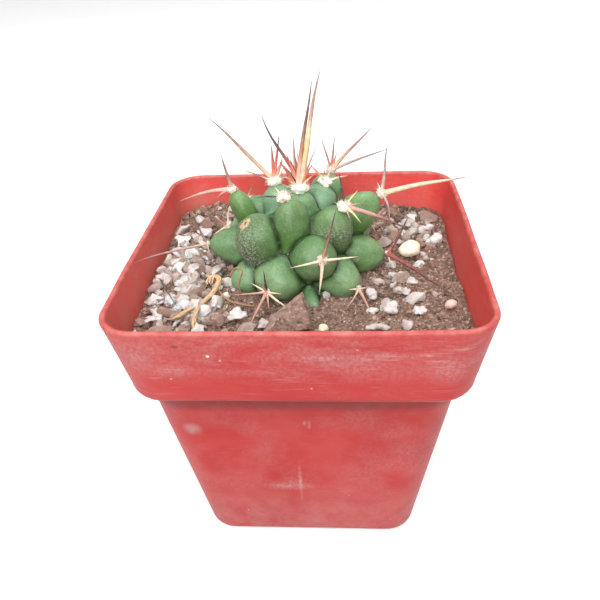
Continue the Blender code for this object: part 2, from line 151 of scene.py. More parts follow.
# For one spine of an areole: where its foot is moved to, and how strongly it bends both ways
FOOT_SHIFT = {("top", 0): Vector((0.3, 0.1, 0)), ("top", 1): Vector((-0.5, -0.45, 0))}
KINKED = {("top", 2): 0.045, ("top_left", 0): 0.008}
SPINES = {
    "left": (
        (229, 10, 21.4, 0.4, 0.06, "pink"),
        (135, 50, 8.4, 0.34, 0.02, "dark"),
        (298, -20, 5.8, 0.22, 0.1, "grey"),
    ),
    "middle": (
        (193, 5, 6.1, 0.28, 0.04, "black"),
        (278, -5, 3.2, 0.28, 0.1, "pink"),
        (147, 43, 3.2, 0.25, 0.02, "cream"),
        (19, 25, 3.2, 0.25, 0.02, "pink"),
    ),
    "front": (
        (30, 72, 12.0, 0.4, 0.03, "brown"),
        (209, 3, 8.0, 0.32, 0.04, "cream"),
        (348, 13, 8.4, 0.34, 0.04, "cream"),
        (266, -28, 8.6, 0.42, 0.05, "bone"),
    ),
    "front_low_left": (
        (262, 79, 6.6, 0.3, 0.02, "black"),
        (197, 6, 9.0, 0.26, 0.04, "pink"),
        (254, -12, 11.8, 0.42, 0.03, "rose"),
        (281, -12, 6.4, 0.3, 0.03, "pink"),
        (316, -10, 8.5, 0.32, 0.03, "cream"),
        (323, 15, 4.8, 0.28, 0.04, "cream"),
        (180, 35, 4.4, 0.26, 0.03, "cream"),
        (235, 60, 3.4, 0.3, 0.02, "rose"),
    ),
    "front_low_right": (
        (359, 12, 5.4, 0.3, 0.03, "brown"),
        (242, -16, 6.9, 0.3, 0.04, "pink"),
        (290, -15, 8.8, 0.38, 0.03, "rose"),
        (318, 30, 2.6, 0.22, 0.02, "cream"),
        (200, 10, 2.8, 0.22, 0.02, "bone"),
    ),
    "right": (
        (36, 51, 10.0, 0.44, 0.04, "dark red"),
        (318, -12, 18.8, 0.5, 0.03, "dark red"),
        (280, -40, 3.5, 0.28, 0.1, "bone"),
    ),
    "right_back": (
        (76, 57, 12.2, 0.44, 0.01, "grey"),
        (9, 7, 21.8, 0.58, 0.04, "pale"),
        (285, -40, 8.0, 0.34, 0.12, "grey"),
        (124, 54, 3.0, 0.26, 0.04, "cream"),
    ),
    "right_front": (
        (108, 61, 8.2, 0.32, 0.03, "black"),
        (336, -11, 16.0, 0.5, 0.04, "rose dark"),
        (36, 39, 5.0, 0.3, 0.03, "yellow"),
        (304, -14, 6.6, 0.34, 0.06, "yellow"),
        (352, 14, 4.2, 0.26, 0.03, "pink"),
        (288, -22, 4.6, 0.24, 0.03, "pink"),
    ),
    "left_back": (
        (121, 54, 8.7, 0.45, 0.03, "brown"),
        (192, -8, 13.4, 0.48, 0.06, "pink"),
        (210, -20, 4.8, 0.3, 0.1, "pink"),
    ),
    "top_left": (
        (155, 38, 22.8, 0.5, 0.02, "tan"),
        (159, 13, 8.4, 0.26, 0.02, "brown"),
        (158, 11, 8.6, 0.3, 0.03, "bone"),
        (80, 57, 11.8, 0.46, 0.02, "red"),
        (99, 60, 9.0, 0.52, 0.02, "red"),
        (60, 52, 6.4, 0.4, 0.02, "ember"),
        (88, 44, 7.2, 0.5, 0.02, "red"),
        (40, 60, 5.6, 0.4, 0.02, "pink"),
        (118, 40, 4.2, 0.26, 0.02, "cream"),
        (20, 50, 5.0, 0.36, 0.02, "cream"),
        (200, 30, 4.2, 0.3, 0.02, "cream"),
    ),
    "top_right": (
        (353, 17, 6.0, 0.32, 0.04, "cream"),
        (60, 35, 6.6, 0.34, 0.04, "bone"),
        (145, 38, 5.6, 0.4, 0.02, "ember"),
        (250, 40, 3.5, 0.26, 0.02, "cream"),
        (100, 60, 4.0, 0.26, 0.02, "red"),
    ),
    "top": (
        (50, 72.6, 26.4, 0.62, 0.07, "crown"),
        (63, 69.6, 24.4, 0.54, 0.065, "crown brown"),
        (135, 50, 19.8, 0.5, 0.0, "red dark"),
        (41, 57, 10.6, 0.34, 0.02, "pink"),
        (96, 52, 9.0, 0.36, 0.02, "pink"),
        (110, 70, 7.0, 0.62, 0.02, "red"),
        (166, 52, 7.6, 0.66, 0.02, "ember"),
        (186, 58, 6.0, 0.5, 0.02, "ember"),
        (350, 45, 5.0, 0.34, 0.02, "cream"),
        (60, 45, 6.2, 0.36, 0.02, "bone"),
        (150, 62, 5.4, 0.34, 0.02, "cream"),
        (96, 64, 6.0, 0.4, 0.02, "ember"),
        (142, 64, 8.6, 0.5, 0.02, "ember"),
        (122, 56, 7.0, 0.52, 0.02, "red"),
        (172, 66, 7.0, 0.34, 0.02, "pink"),
        (20, 72, 5.2, 0.4, 0.02, "pink"),
        (330, 62, 4.0, 0.3, 0.02, "bone"),
        (205, 62, 5.6, 0.24, 0.02, "black"),
        (225, 40, 4.6, 0.3, 0.02, "cream"),
        (10, 60, 6.4, 0.44, 0.02, "ember"),
        (300, 55, 3.6, 0.28, 0.02, "cream"),
        (150, 28, 5.0, 0.3, 0.02, "cream"),
    ),
    "back_right": (
        (24, 40, 15.0, 0.46, 0.02, "tan"),
        (120, 55, 8.6, 0.34, 0.02, "brown"),
        (79, 56, 9.0, 0.36, 0.02, "brown"),
        (7, 18, 15.2, 0.42, 0.02, "grey"),
        (140, 30, 4.0, 0.3, 0.02, "cream"),
        (50, 60, 5.0, 0.34, 0.02, "ember"),
    ),
    "back": ((95, 50, 12.0, 0.48, 0.05, "tan"),),
    "back_left": ((140, 30, 10.0, 0.46, 0.05, "rose dark"),),
    "back_low_left": ((160, 25, 7.5, 0.4, 0.05, "brown"),),
    "back_low": ((110, 25, 6.5, 0.42, 0.05, "rose"),),
    "back_middle": ((68, 35, 8.0, 0.46, 0.05, "dark"),),
    "back_low_right": ((30, 20, 9.0, 0.42, 0.05, "rose dark"),),
}
RADIAL_COUNT = 5
RADIAL_LENGTH = 5.0
RADIAL_TILT = 68
RADIAL_COLOURS = ("cream", "bone", "pink", "cream", "tan")
WOOL = {  # size of an areole's wool against the usual one, and its greyness
    "top": (1.45, 0.0),
    "top_left": (1.25, 0.0),
    "top_right": (1.2, 0.0),
    "middle": (1.15, 0.15),
    "right_front": (1.1, 0.15),
    "right_back": (0.9, 0.3),
    "left_back": (0.75, 0.2),
    "front": (0.85, 0.6),
    "left": (0.55, 0.6),
    "right": (0.5, 0.6),
    "front_low_left": (0.6, 0.8),
    "front_low_right": (0.55, 0.8),
}
USUAL_WOOL = (0.85, 0.4)
PAD_SHAPE = Vector((1.42, 1.42, 0.95))
HAIRS_PER_AREOLE = 260
HAIR_RADIUS = 0.044  # against its length
HAIR_RINGS = 4

# Colours of horn from a spine's foot to its tip: share of the length, then red, green and blue
HORN = {
    "cream": ((0, 226, 200, 172), (0.2, 238, 222, 192), (0.8, 230, 214, 184), (1, 190, 160, 134)),
    "bone": ((0, 206, 168, 140), (0.25, 224, 196, 172), (0.8, 214, 190, 166), (1, 110, 88, 76)),
    "pale": ((0, 216, 186, 160), (0.15, 238, 204, 172), (0.7, 226, 200, 176), (1, 150, 130, 122)),
    "yellow": ((0, 226, 186, 128), (0.3, 236, 220, 150), (0.8, 226, 210, 148), (1, 190, 168, 116)),
    "pink": ((0, 224, 196, 180), (0.3, 208, 168, 156), (0.8, 188, 140, 132), (1, 128, 96, 92)),
    "rose": ((0, 196, 150, 136), (0.3, 188, 144, 130), (0.8, 190, 150, 138), (1, 150, 112, 104)),
    "rose dark": ((0, 206, 156, 142), (0.4, 192, 140, 132), (0.7, 128, 82, 76), (1, 66, 50, 50)),
    "ember": ((0, 246, 218, 190), (0.25, 234, 164, 128), (0.6, 212, 116, 90), (1, 156, 90, 80)),
    "tan": (
        (0, 232, 204, 168), (0.2, 206, 168, 134), (0.55, 160, 124, 106), (0.85, 140, 112, 104),
        (1, 104, 88, 88),
    ),
    "brown": ((0, 196, 132, 110), (0.3, 168, 120, 104), (0.7, 122, 88, 82), (1, 78, 62, 62)),
    "red": ((0, 240, 196, 160), (0.25, 218, 122, 92), (0.6, 178, 84, 76), (1, 110, 78, 80)),
    "red dark": (
        (0, 236, 178, 140), (0.2, 206, 112, 84), (0.38, 140, 74, 62), (0.55, 80, 56, 56),
        (1, 70, 62, 66),
    ),
    "dark red": ((0, 168, 84, 74), (0.3, 128, 62, 56), (0.7, 110, 58, 54), (1, 62, 44, 44)),
    "dark": ((0, 160, 116, 104), (0.3, 122, 96, 92), (0.7, 92, 74, 74), (1, 62, 54, 56)),
    "grey": ((0, 206, 188, 170), (0.3, 176, 156, 148), (0.7, 146, 128, 124), (1, 84, 74, 78)),
    "black": ((0, 166, 124, 104), (0.2, 84, 66, 62), (0.6, 50, 44, 46), (1, 40, 38, 42)),
    # crown: the palest stop, half way along, is painted highlight over cream horn
    "crown": (
        (0, 240, 216, 190), (0.2, 234, 202, 168), (0.34, 236, 206, 146), (0.5, 246, 230, 184),
        (0.64, 200, 156, 130), (1, 150, 112, 112),
    ),
    "crown brown": (
        (0, 238, 208, 184), (0.22, 222, 178, 152), (0.4, 176, 128, 98), (0.62, 122, 90, 76),
        (0.8, 110, 92, 90), (1, 84, 72, 76),
    ),
}

# Loose on the soil
SAND_COUNT = 5200
GRAVEL_COUNT = 420
CRUMB_COUNT = 520
LITTER_COUNT = 80
CHIP_GROWTH = (1.22, 0.85)  # across and up
CLOD_SEED = 5
CLOD_SHIFT = 0.7
CLOD_RISE = 0.3
PEBBLES = {"pebble_1": (1.5, 1.0), "pebble_2": (1.3, 0.0), "pebble_3": (1.3, 0.85)}  # growth, paleness
ROOTS = {  # points from above with heights over the soil, radius, number of fibres
    "root_strand_long": (
        (
            (-22.4, -10.7, 1.6),
            (-21.7, -7.9, 2.4),
            (-19.9, -8.2, 2.6),
            (-20.3, -12.0, 2.6),
            (-21.6, -15.7, 2.6),
            (-23.2, -19.0, 2.6),
            (-25.1, -20.9, 2.6),
            (-27.2, -22.4, 2.3),
            (-29.7, -22.3, 2.0),
        ),
        0.5,
        6,
    ),
    "root_strand_short": (
        ((-22.0, -16.2, 2.4), (-22.9, -21.7, 2.4), (-22.8, -25.2, 2.0), (-21.6, -27.4, 1.4)),
        0.36,
        4,
    ),
}
FOOT_ROOT = (  # points given the same way, of a rootlet that runs to the stem's foot
    (-20.0, -10.6, 1.6),
    (-18.4, -12.6, 1.3),
    (-16.4, -13.8, 0.8),
    (-13.6, -14.4, 0.6),
    (-11.0, -14.2, 0.4),
)
THREAD = (  # a rootlet that hangs over a low tubercle
    (-17.9, -4.9, 65.4),
    (-16.9, -5.0, 67.2),
    (-16.0, -5.6, 68.0),
    (-15.2, -6.1, 68.1),
    (-14.6, -6.9, 67.8),
    (-15.0, -7.7, 66.8),
    (-15.4, -8.3, 65.4),
    (-15.2, -8.6, 64.0),
    (-15.0, -8.2, 62.4),
)
STEM_CRUMBS = (  # places and sizes
    (-3.3, -7.6, 72.6, 0.4),
    (-4.2, -7.6, 72.3, 0.3),
    (-2.6, -7.8, 72.9, 0.25),
)
LOOSE_SPINE = ((-35.8, -5.0, 2.5), (-31.7, -12.6, 2.5), (-27.6, -19.4, 2.5))

TINTED = {  # dark, middle and pale colours, roughness, size of the grain, depth of its bumps
    "sand_grains": ((90, 70, 58), (136, 109, 93), (198, 176, 160), 0.9, 0.3, 0.04),
    "gravel": ((78, 64, 56), (126, 101, 88), (172, 147, 131), 0.85, 0.6, 0.08),
    "perlite_crumbs": ((136, 106, 90), (190, 173, 163), (234, 230, 228), 0.8, 0.9, 0.05),
    "glassy_perlite": ((168, 150, 140), (200, 191, 186), (218, 214, 212), 0.5, 0.9, 0.06),
    "cream_stone": ((216, 190, 180), (222, 202, 166), (246, 240, 212), 0.6, 1.4, 0.06),
    "dry_litter": ((106, 80, 62), (170, 138, 108), (224, 204, 172), 0.9, 0.5, 0.06),
    "dry_root_fibre": ((170, 128, 98), (208, 172, 130), (236, 210, 172), 0.85, 0.9, 0.05),
}


def linear(red, green, blue):
    """A colour for a shader from its usual 0 to 255 numbers."""
    shares = (red / 255, green / 255, blue / 255)
    return tuple(s / 12.92 if s <= 0.04045 else ((s + 0.055) / 1.055) ** 2.4 for s in shares)


def shade(value):
    """A shader's colour from a grey from 0 to 1, or from red, green and blue from 0 to 255."""
    colour = linear(*value) if isinstance(value, tuple) else (value, value, value)
    return (*colour, 1)


class Finish:
    """A material: one Principled shader and the nodes that feed it.

    Sizes are in millimetres, and colours are red, green and blue from 0 to 255."""

    def __init__(self, name, **values):
        self.material = bpy.data.materials.new(name)
        self.material.use_nodes = True
        self.nodes = self.material.node_tree.nodes
        self.links = self.material.node_tree.links
        self.shader = self.nodes["Principled BSDF"]
        self.place = self.nodes.new("ShaderNodeTexCoord").outputs["Object"]
        for socket, value in values.items():
            self.shader.inputs[socket.replace("_", " ")].default_value = value

    def add(self, kind, inputs, **settings):
        node = self.nodes.new("ShaderNode" + kind)
        for setting, value in settings.items():
            setattr(node, setting, value)
        for socket, value in inputs.items():
            self.feed(node.inputs[socket], value)
        return node

    def feed(self, socket, value):
        if isinstance(value, bpy.types.NodeSocket):
            self.links.new(value, socket)
        elif socket.type == "RGBA":
            socket.default_value = shade(value)
        else:
            socket.default_value = value

    def at(self, centre=(0, 0, 0), turn=(0, 0, 0), stretch=(1, 1, 1)):
        """Object coordinates about a centre, turned and then divided by a stretch."""
        middle = tuple(c * MM for c in centre)
        shift = self.add("VectorMath", {0: self.place, 1: middle}, operation="SUBTRACT").outputs[0]
        turned = tuple(math.radians(t) for t in turn)
        scale = tuple(1 / s for s in stretch)
        return self.add("Mapping", {"Vector": shift, "Rotation": turned, "Scale": scale}).outputs[0]

    def noise(self, size, detail=3, roughness=0.55, place=None, distortion=0):
        inputs = {"Vector": place or self.place, "Scale": 1000 / size, "Detail": detail}
        inputs.update({"Roughness": roughness, "Distortion": distortion})
        return self.add("TexNoise", inputs).outputs["Fac"]

    def cells(self, size, place=None, output="Distance"):
        inputs = {"Vector": place or self.place, "Scale": 1000 / size}
        return self.add("TexVoronoi", inputs, feature="F1").outputs[output]

    def ramp(self, source, *stops):
        """Colours or greys along a value: each stop is its place, then a grey or a colour."""
        node = self.add("ValToRGB", {"Fac": source})
        elements = node.color_ramp.elements
        while len(elements) < len(stops):
            elements.new(0.5)
        for element, (place, value) in zip(elements, stops):
            element.position = place
            element.color = shade(value)
        return node.outputs["Color"]

    def mix(self, share, first, second, blend="MIX"):
        node = self.add("Mix", {}, data_type="RGBA", blend_type=blend)
        for number, value in ((0, share), (6, first), (7, second)):
            self.feed(node.inputs[number], value)
        return node.outputs[2]

    def tinge(self, colour, source, first, last, other):
        """A colour with another over it, as much as a value says between two stops."""
        return self.mix(self.ramp(source, first, last), colour, other)

    def math(self, operation, first, *others):
        """One number from several, taken from left to right."""
        for other in others:
            first = self.add("Math", {0: first, 1: other}, operation=operation).outputs[0]
        return first

    def times(self, *values):
        return self.math("MULTIPLY", *values)

    def most(self, *values):
        return self.math("MAXIMUM", *values)

    def attribute(self, name, output="Fac"):
        return self.add("Attribute", {}, attribute_name=name).outputs[output]

    def spot(self, centre, half_sizes, turn=0, soft=0.5):
        """1 inside an ellipsoid that leans by a turn, fading to 0 at its surface."""
        inside = self.at(centre, (0, turn, 0), half_sizes)
        length = self.add("VectorMath", {0: inside}, operation="LENGTH").outputs["Value"]
        return self.ramp(self.times(length, 1000), (1 - soft, 1.0), (1.0, 0.0))

    def bump(self, height, depth, below=None):
        """A bump this deep in millimetres, on top of another."""
        inputs = {"Height": height, "Distance": depth * MM, "Strength": 1.0}
        if below:
            inputs["Normal"] = below
        return self.add("Bump", inputs).outputs["Normal"]

    def use(self, **sources):
        for socket, source in sources.items():
            self.feed(self.shader.inputs[socket.replace("_", " ")], source)
        return self.material


def polar(azimuth, distance, height):
    """A point from its place round the stem's axis."""
    turn = math.radians(azimuth)
    return Vector((STEM.x + distance * math.cos(turn), STEM.y + distance * math.sin(turn), height))


def direction(azimuth, elevation):
    turn, rise = math.radians(azimuth), math.radians(elevation)
    return Vector((math.cos(rise) * math.cos(turn), math.cos(rise) * math.sin(turn), math.sin(rise)))


def soil_height(x, y):
    """The soil's level: small waves, and wider heaps and hollows."""
    height = SOIL_LEVEL + SOIL_WAVE * math.sin(0.45 * x + 1) * math.cos(0.38 * y)
    for heap_x, heap_y, rise, spread in SOIL_HEAPS:
        height += rise * math.exp(-((x - heap_x) ** 2 + (y - heap_y) ** 2) / spread**2)
    return height


def ground(x, y):
    """The soil's surface with its crumbs."""
    crumbs = 0.55 * noise.noise(Vector((x / 3.4, y / 3.4, 1)))
    crumbs += 0.32 * noise.noise(Vector((x / 1.5, y / 1.5, 7)))
    crumbs += 0.16 * noise.noise(Vector((x / 0.7, y / 0.7, 3)))
    return soil_height(x, y) + crumbs - 0.15


def paint(mesh, name, values):
    """A number, or three of them, stored at each point of a mesh for its material."""
    values = np.asarray(values, np.float32)
    if values.ndim == 1:
        mesh.attributes.new(name, "FLOAT", "POINT").data.foreach_set("value", values)
        return
    colours = np.ones((len(values), 4), np.float32)
    colours[:, :3] = values
    mesh.attributes.new(name, "FLOAT_COLOR", "POINT").data.foreach_set("color", colours.ravel())


def points_of(mesh):
    points = np.empty(len(mesh.vertices) * 3, np.float32)
    mesh.vertices.foreach_get("co", points)
    return points.reshape(-1, 3)


def make_mesh(name, bm, outwards=False):
    """A mesh in millimetres from a bmesh, which it uses up."""
    if outwards:
        bmesh.ops.recalc_face_normals(bm, faces=bm.faces)
    mesh = bpy.data.meshes.new(name)
    bm.to_mesh(mesh)
    bm.free()
    return mesh


def pour(shape, bm, outwards=False):
    """Adds a shape to a bmesh, and uses the shape up."""
    mesh = make_mesh("shape", shape, outwards)
    bm.from_mesh(mesh)
    bpy.data.meshes.remove(mesh)


def put(name, data):
    """A new object in the scene."""
    thing = bpy.data.objects.new(name, data)
    bpy.context.scene.collection.objects.link(thing)
    return thing


def ring_of(sides, centre, across, along):
    """Points round an ellipse, from its centre and its two half axes."""
    angles = [math.tau * step / sides for step in range(sides)]
    return [centre + across * math.cos(angle) + along * math.sin(angle) for angle in angles]


def relax(bm, factor):
    """Moves each point towards its neighbours."""
    bmesh.ops.smooth_vert(
        bm, verts=bm.verts, factor=factor, use_axis_x=True, use_axis_y=True, use_axis_z=True
    )


def show(name, mesh, finish, replaced=(), sharp=None):
    """A piece from a mesh in millimetres: scaled, given its finish, and fixed to the pot's body."""
    mesh.transform(Matrix.Scale(MM, 4))
    mesh.name = name
    mesh.shade_smooth()
    if sharp:
        mesh.set_sharp_from_angle(angle=math.radians(sharp))
    mesh.materials.clear()
    mesh.materials.append(finish)
    piece = put(name, mesh)
    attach(piece, "root")
    if replaced:
        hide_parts(*replaced)
    return piece


def finished(name, mesh, kind, **settings):
    """The mesh after a modifier of a kind."""
    helper = put(name, mesh)
    modifier = helper.modifiers.new(name, kind)
    for setting, value in settings.items():
        setattr(modifier, setting, value)
    graph = bpy.context.evaluated_depsgraph_get()
    result = bpy.data.meshes.new_from_object(helper.evaluated_get(graph))
    bpy.data.objects.remove(helper)
    return result


def outline(half, corner, z, corner_steps=9, side_steps=18):
    """The points of a rounded square at one height, anticlockwise."""
    corner = min(corner, half)
    straight = 2 * (half - corner)
    points = []
    for quarter in range(4):
        turn = Matrix.Rotation(math.radians(90 * quarter), 3, "Z")
        for step in range(corner_steps + 1):
            angle = math.radians(90 * step / corner_steps)
            across = half - corner + corner * math.cos(angle)
            along = half - corner + corner * math.sin(angle)
            points.append(turn @ Vector((across, along, z)))
        for step in range(1, side_steps):
            points.append(turn @ Vector((half - corner - straight * step / side_steps, half, z)))
    return points


def bridge(bm, rings):
    """Walls between rings of points, and a flat cap at each end."""
    loops = []
    for points in rings:
        corners = [bm.verts.new(point) for point in points]
        loops.append([bm.edges.new(pair) for pair in zip(corners, corners[1:] + corners[:1])])
    for lower, upper in zip(loops, loops[1:]):
        bmesh.ops.bridge_loops(bm, edges=lower + upper)
    for end in (loops[0], loops[-1]):
        bmesh.ops.holes_fill(bm, edges=end, sides=0)


def inner_half(z):
    """Half the width inside the pot at a height above its floor."""
    ledge = COLLAR_FOOT + WALL
    if z <= ledge:
        share = (z - BASE_THICKNESS) / (ledge - BASE_THICKNESS)
        return BASE_HALF - WALL + share * (BODY_HALF - BASE_HALF)
    share = (z - ledge) / (POT_HEIGHT - ledge)
    return COLLAR_HALF - WALL + share * (RIM_HALF - COLLAR_HALF)


def turned_edge(half, corner, z, radius, steps):
    """Levels that turn a flat underside into a wall through a quarter circle."""
    levels = []
    for step in range(steps + 1):
        angle = math.radians(90 * step / steps)
        inset = radius * (1 - math.sin(angle))
        levels.append((half - inset, corner - inset, z + radius * (1 - math.cos(angle))))
    return levels


def between(first, last, steps):
    """Levels between two others, without either."""
    levels = []
    for step in range(1, steps):
        share = step / steps
        levels.append(tuple(a + share * (b - a) for a, b in zip(first, last)))
    return levels


def pot_levels():
    """Half width, corner and height of each ring round the pot, and how many of them are outside."""
    lip = WALL / 2
    ledge = COLLAR_FOOT + WALL
    outside = [(BASE_HALF - 9, 3.0, 0.0), (BASE_HALF - 4, 5.0, 0.0)]
    outside += turned_edge(BASE_HALF, BASE_CORNER, 0, BASE_ROUNDING, 6)
    step_edge = (BODY_HALF, BODY_CORNER, COLLAR_FOOT)
    outside += between(outside[-1], step_edge, 20) + [step_edge]
    outside += turned_edge(COLLAR_HALF, RIM_CORNER, COLLAR_FOOT, COLLAR_ROUNDING, 8)
    lip_foot = (RIM_HALF, RIM_CORNER, POT_HEIGHT - lip)
    outside += between(outside[-1], lip_foot, 12)
    for step in range(9):
        angle = math.radians(22.5 * step)
        inset = lip * (1 - math.cos(angle))
        outside.append((RIM_HALF - inset, RIM_CORNER - inset, POT_HEIGHT - lip + lip * math.sin(angle)))
    inner_ledge = (COLLAR_HALF - WALL, RIM_CORNER - WALL, ledge)
    inside = between(outside[-1], inner_ledge, 10) + [inner_ledge]
    inside.append((BODY_HALF - WALL, BODY_CORNER - WALL, ledge))
    floor_edge = BASE_THICKNESS + FLOOR_ROUNDING
    floor_start = (inner_half(floor_edge), BASE_CORNER - WALL, floor_edge)
    inside += between(inside[-1], floor_start, 8) + [floor_start]
    inside.append((BASE_HALF - WALL - FLOOR_ROUNDING, BASE_CORNER - 2 * WALL, BASE_THICKNESS))
    return outside, inside


def wander(point):
    """A point of the pot, moved by the small unevenness of its thin walls."""
    rise = max(0.0, (point.z - 8) / POT_HEIGHT)
    spot = Vector((point.x / 22, point.y / 22, point.z / 26))
    moved = point + rise * WALL_WAVE * 2 * Vector((noise.noise(spot), noise.noise(spot + STEM), 0))
    high = max(0.0, (point.z - COLLAR_FOOT - 4) / (POT_HEIGHT - COLLAR_FOOT - 4))
    if point.y < -RIM_CORNER * 3:
        moved.y -= FRONT_BOW * high * max(0.0, math.cos(math.pi * point.x / (2 * RIM_HALF)))
    moved.z += 0.25 * high * noise.noise(Vector((point.x / 16, point.y / 16, 4)))
    return moved


def make_pot(finish):
    """The pot's one moulded shell, with its drain holes."""
    outside, inside = pot_levels()
    rings = [outline(*level) for level in outside + inside]
    bm = bmesh.new()
    bridge(bm, rings)
    mesh = make_mesh("pot_shell", bm, outwards=True)
    within = np.zeros(len(mesh.vertices))
    within[len(rings[0]) * (len(outside) - 4) :] = 1
    paint(mesh, "within", within)
    holes = bpy.data.collections.new("drain_holes")
    for side_x in (-1, 1):
        for side_y in (-1, 1):
            bm = bmesh.new()
            place = Matrix.Translation((side_x * DRAIN_OFFSET, side_y * DRAIN_OFFSET, 0))
            sizes = {"radius1": DRAIN_RADIUS, "radius2": DRAIN_RADIUS, "depth": DRAIN_CUT}
            bmesh.ops.create_cone(bm, cap_ends=True, segments=32, matrix=place, **sizes)
            holes.objects.link(put("drain_hole", make_mesh("drain_hole", bm)))
    cut = {"operand_type": "COLLECTION", "collection": holes, "operation": "DIFFERENCE", "solver": "EXACT"}
    mesh = finished("pot_shell", mesh, "BOOLEAN", **cut)
    for cutter in list(holes.objects):
        bpy.data.objects.remove(cutter)
    bpy.data.collections.remove(holes)
    for vert in mesh.vertices:
        vert.co = wander(vert.co)
    show("nursery_pot", mesh, finish, ["pot"], sharp=50)


def red_plastic():
    """Matt polypropylene, sun-paled, with dusty streaks, rubs and short scratches."""
    finish = Finish("weathered red plastic", Metallic=0.0, IOR=1.48)
    at, spot, ramp, mix, times = finish.at, finish.spot, finish.ramp, finish.mix, finish.times
    within = finish.attribute("within")
    ways = finish.add("SeparateXYZ", {0: finish.place}).outputs
    height = times(ways["Z"], 10)
    collar = ramp(height, (0.53, 0.0), (0.535, 1.0))
    below = finish.math("SUBTRACT", 1.0, collar)
    red = ramp(finish.noise(22, 3, 0.6), (0.3, (184, 34, 32)), (0.5, (197, 50, 47)), (0.7, (207, 76, 72)))
    red = mix(0.45, red, mix(collar, red, (206, 58, 54)))
    # Dust lies in level streaks on the collar and in soft clouds lower down
    level = at(stretch=(5, 5, 1.6))
    streaks = ramp(finish.noise(1.6, 6, 0.72, level, 0.8), (0.42, 0.0), (0.68, 1.0))
    patches = ramp(finish.noise(15, 4, 0.62, at((9, 4, 2))), (0.42, 0.0), (0.64, 1.0))
    grain = ramp(finish.noise(0.7, 3, 0.7), (0.38, 0.35), (0.66, 1.0))
    belt = spot((0, 0, 67.5), (90, 90, 10), soft=0.7)
    film = times(patches, grain, mix(collar, 0.3, 0.12))
    broad = ramp(finish.noise(5, 6, 0.72, level, 0.6), (0.38, 0.0), (0.62, 1.0))
    broad = times(broad, belt, grain, 0.85, collar)
    low = spot((0, 0, 0), (90, 90, 24), soft=0.9)
    low = times(low, ramp(finish.noise(6, 5, 0.7), (0.35, 0.2), (0.7, 0.75)))
    dust = finish.most(times(streaks, belt, patches, grain, 0.95), film, broad, low)
    for centre, size, turn, strength in DUSTY_PLACES:
        dust = finish.most(dust, times(spot(centre, size, turn, 0.9), grain, strength))
    colour = mix(dust, red, (218, 164, 162))
    # Short pale scratches in several directions
    scratches = 0.0
    for turn, offset in ((12, 3), (-24, 17), (78, 29), (-62, 41), (41, 53)):
        place = at((offset, offset, offset), (0, turn, 0), (9, 9, 0.8))
        line = ramp(finish.noise(1.0, 2, 0.5, place, 0.3), (0.66, 0.0), (0.8, 0.7))
        scratches = finish.most(scratches, line)
    busy = ramp(finish.noise(9, 2, 0.5, at((5, 31, 8))), (0.42, 0.1), (0.62, 1.0))
    scratches = times(scratches, busy, mix(collar, 0.12, 0.6))
    broken = ramp(finish.noise(0.9, 4, 0.7), (0.35, 0.15), (0.65, 1.0))
    for centre, size, turn in SCRATCHED_PLACES:
        scratches = finish.most(scratches, times(spot(centre, size, turn, 1.0), broken, 0.7))
    colour = mix(scratches, colour, (238, 188, 184))
    # Pinheads of white grit, a dark crumb, a white one, and a pale round smear
    pins = ramp(finish.cells(5.5, at((3, 3, 3))), (0.035, 1.0), (0.06, 0.0))
    colour = mix(times(pins, busy, 0.75), colour, (240, 205, 198))
    crumb = spot((-23.2, -39.6, 70.2), (1.0, 2, 0.6), 20, 0.6)
    colour = mix(times(crumb, 0.75), colour, (108, 66, 52))
    white = spot((-17.1, -39.2, 67.5), (0.42, 2, 0.42), soft=0.4)
    colour = mix(white, colour, (250, 246, 244))
    pale = spot((-24.9, -33.0, 42.1), (2.6, 4, 2.6), 10, 1.0)
    pale = times(pale, ramp(finish.noise(1.6, 4, 0.7), (0.35, 0.3), (0.6, 0.8)))
    colour = mix(pale, colour, (204, 168, 162))
    # Inside, the red is less faded, and soil has left a tide of brown, most of all at the left
    colour = mix(times(within, 0.7), colour, (222, 52, 46))
    tide = ramp(height, (0.62, 1.0), (0.735, 0.25))
    smear = finish.noise(7, 5, 0.68, at((1, 8, 2), stretch=(1, 1, 1.6)))
    smear = ramp(smear, (0.3, 0.25), (0.68, 1.0))
    leftward = finish.math("ADD", times(ways["X"], -12), 0.5)
    leftward = ramp(leftward, (0.0, 0.35), (0.9, 1.0))
    colour = mix(times(tide, smear, within, leftward, 0.75), colour, (172, 128, 112))
    # The lip is rubbed pale and holds grains of dirt
    lip = ramp(height, (0.722, 0.0), (0.732, 1.0))
    colour = mix(times(lip, 0.5), colour, (150, 50, 46))
    rubbed = ramp(finish.noise(3.2, 4, 0.7), (0.4, 0.1), (0.66, 0.75))
    colour = mix(times(lip, rubbed), colour, (206, 122, 114))
    dirt = ramp(finish.noise(1.1, 4, 0.75), (0.6, 0.0), (0.72, 0.7))
    colour = mix(times(lip, dirt), colour, (150, 108, 92))
    # Painted shade: a dark band in the corner under the collar, and a broader, fainter darkening of the
    # wall below it
    shade_under_collar = spot((0, 0, COLLAR_FOOT - 1.7), (90, 90, 3.6), soft=0.7)
    shade_under_collar = times(shade_under_collar, below, ramp(finish.noise(2.4, 4, 0.7), (0.3, 0.7), (0.7, 1.0)), 0.95)
    colour = mix(shade_under_collar, colour, (78, 22, 20))
    shade_below_collar = spot((0, 0, COLLAR_FOOT - 4), (90, 90, 10), soft=0.9)
    colour = mix(times(shade_below_collar, below, 0.35), colour, (150, 38, 36))
    fine = finish.bump(finish.noise(0.5, 3, 0.6), 0.02)
    wave = finish.bump(finish.noise(11, 2, 0.5), 0.3, fine)
    scored = finish.bump(scratches, -0.03, wave)
    return finish.use(Base_Color=colour, Roughness=mix(dust, 0.5, 0.78), Normal=scored)


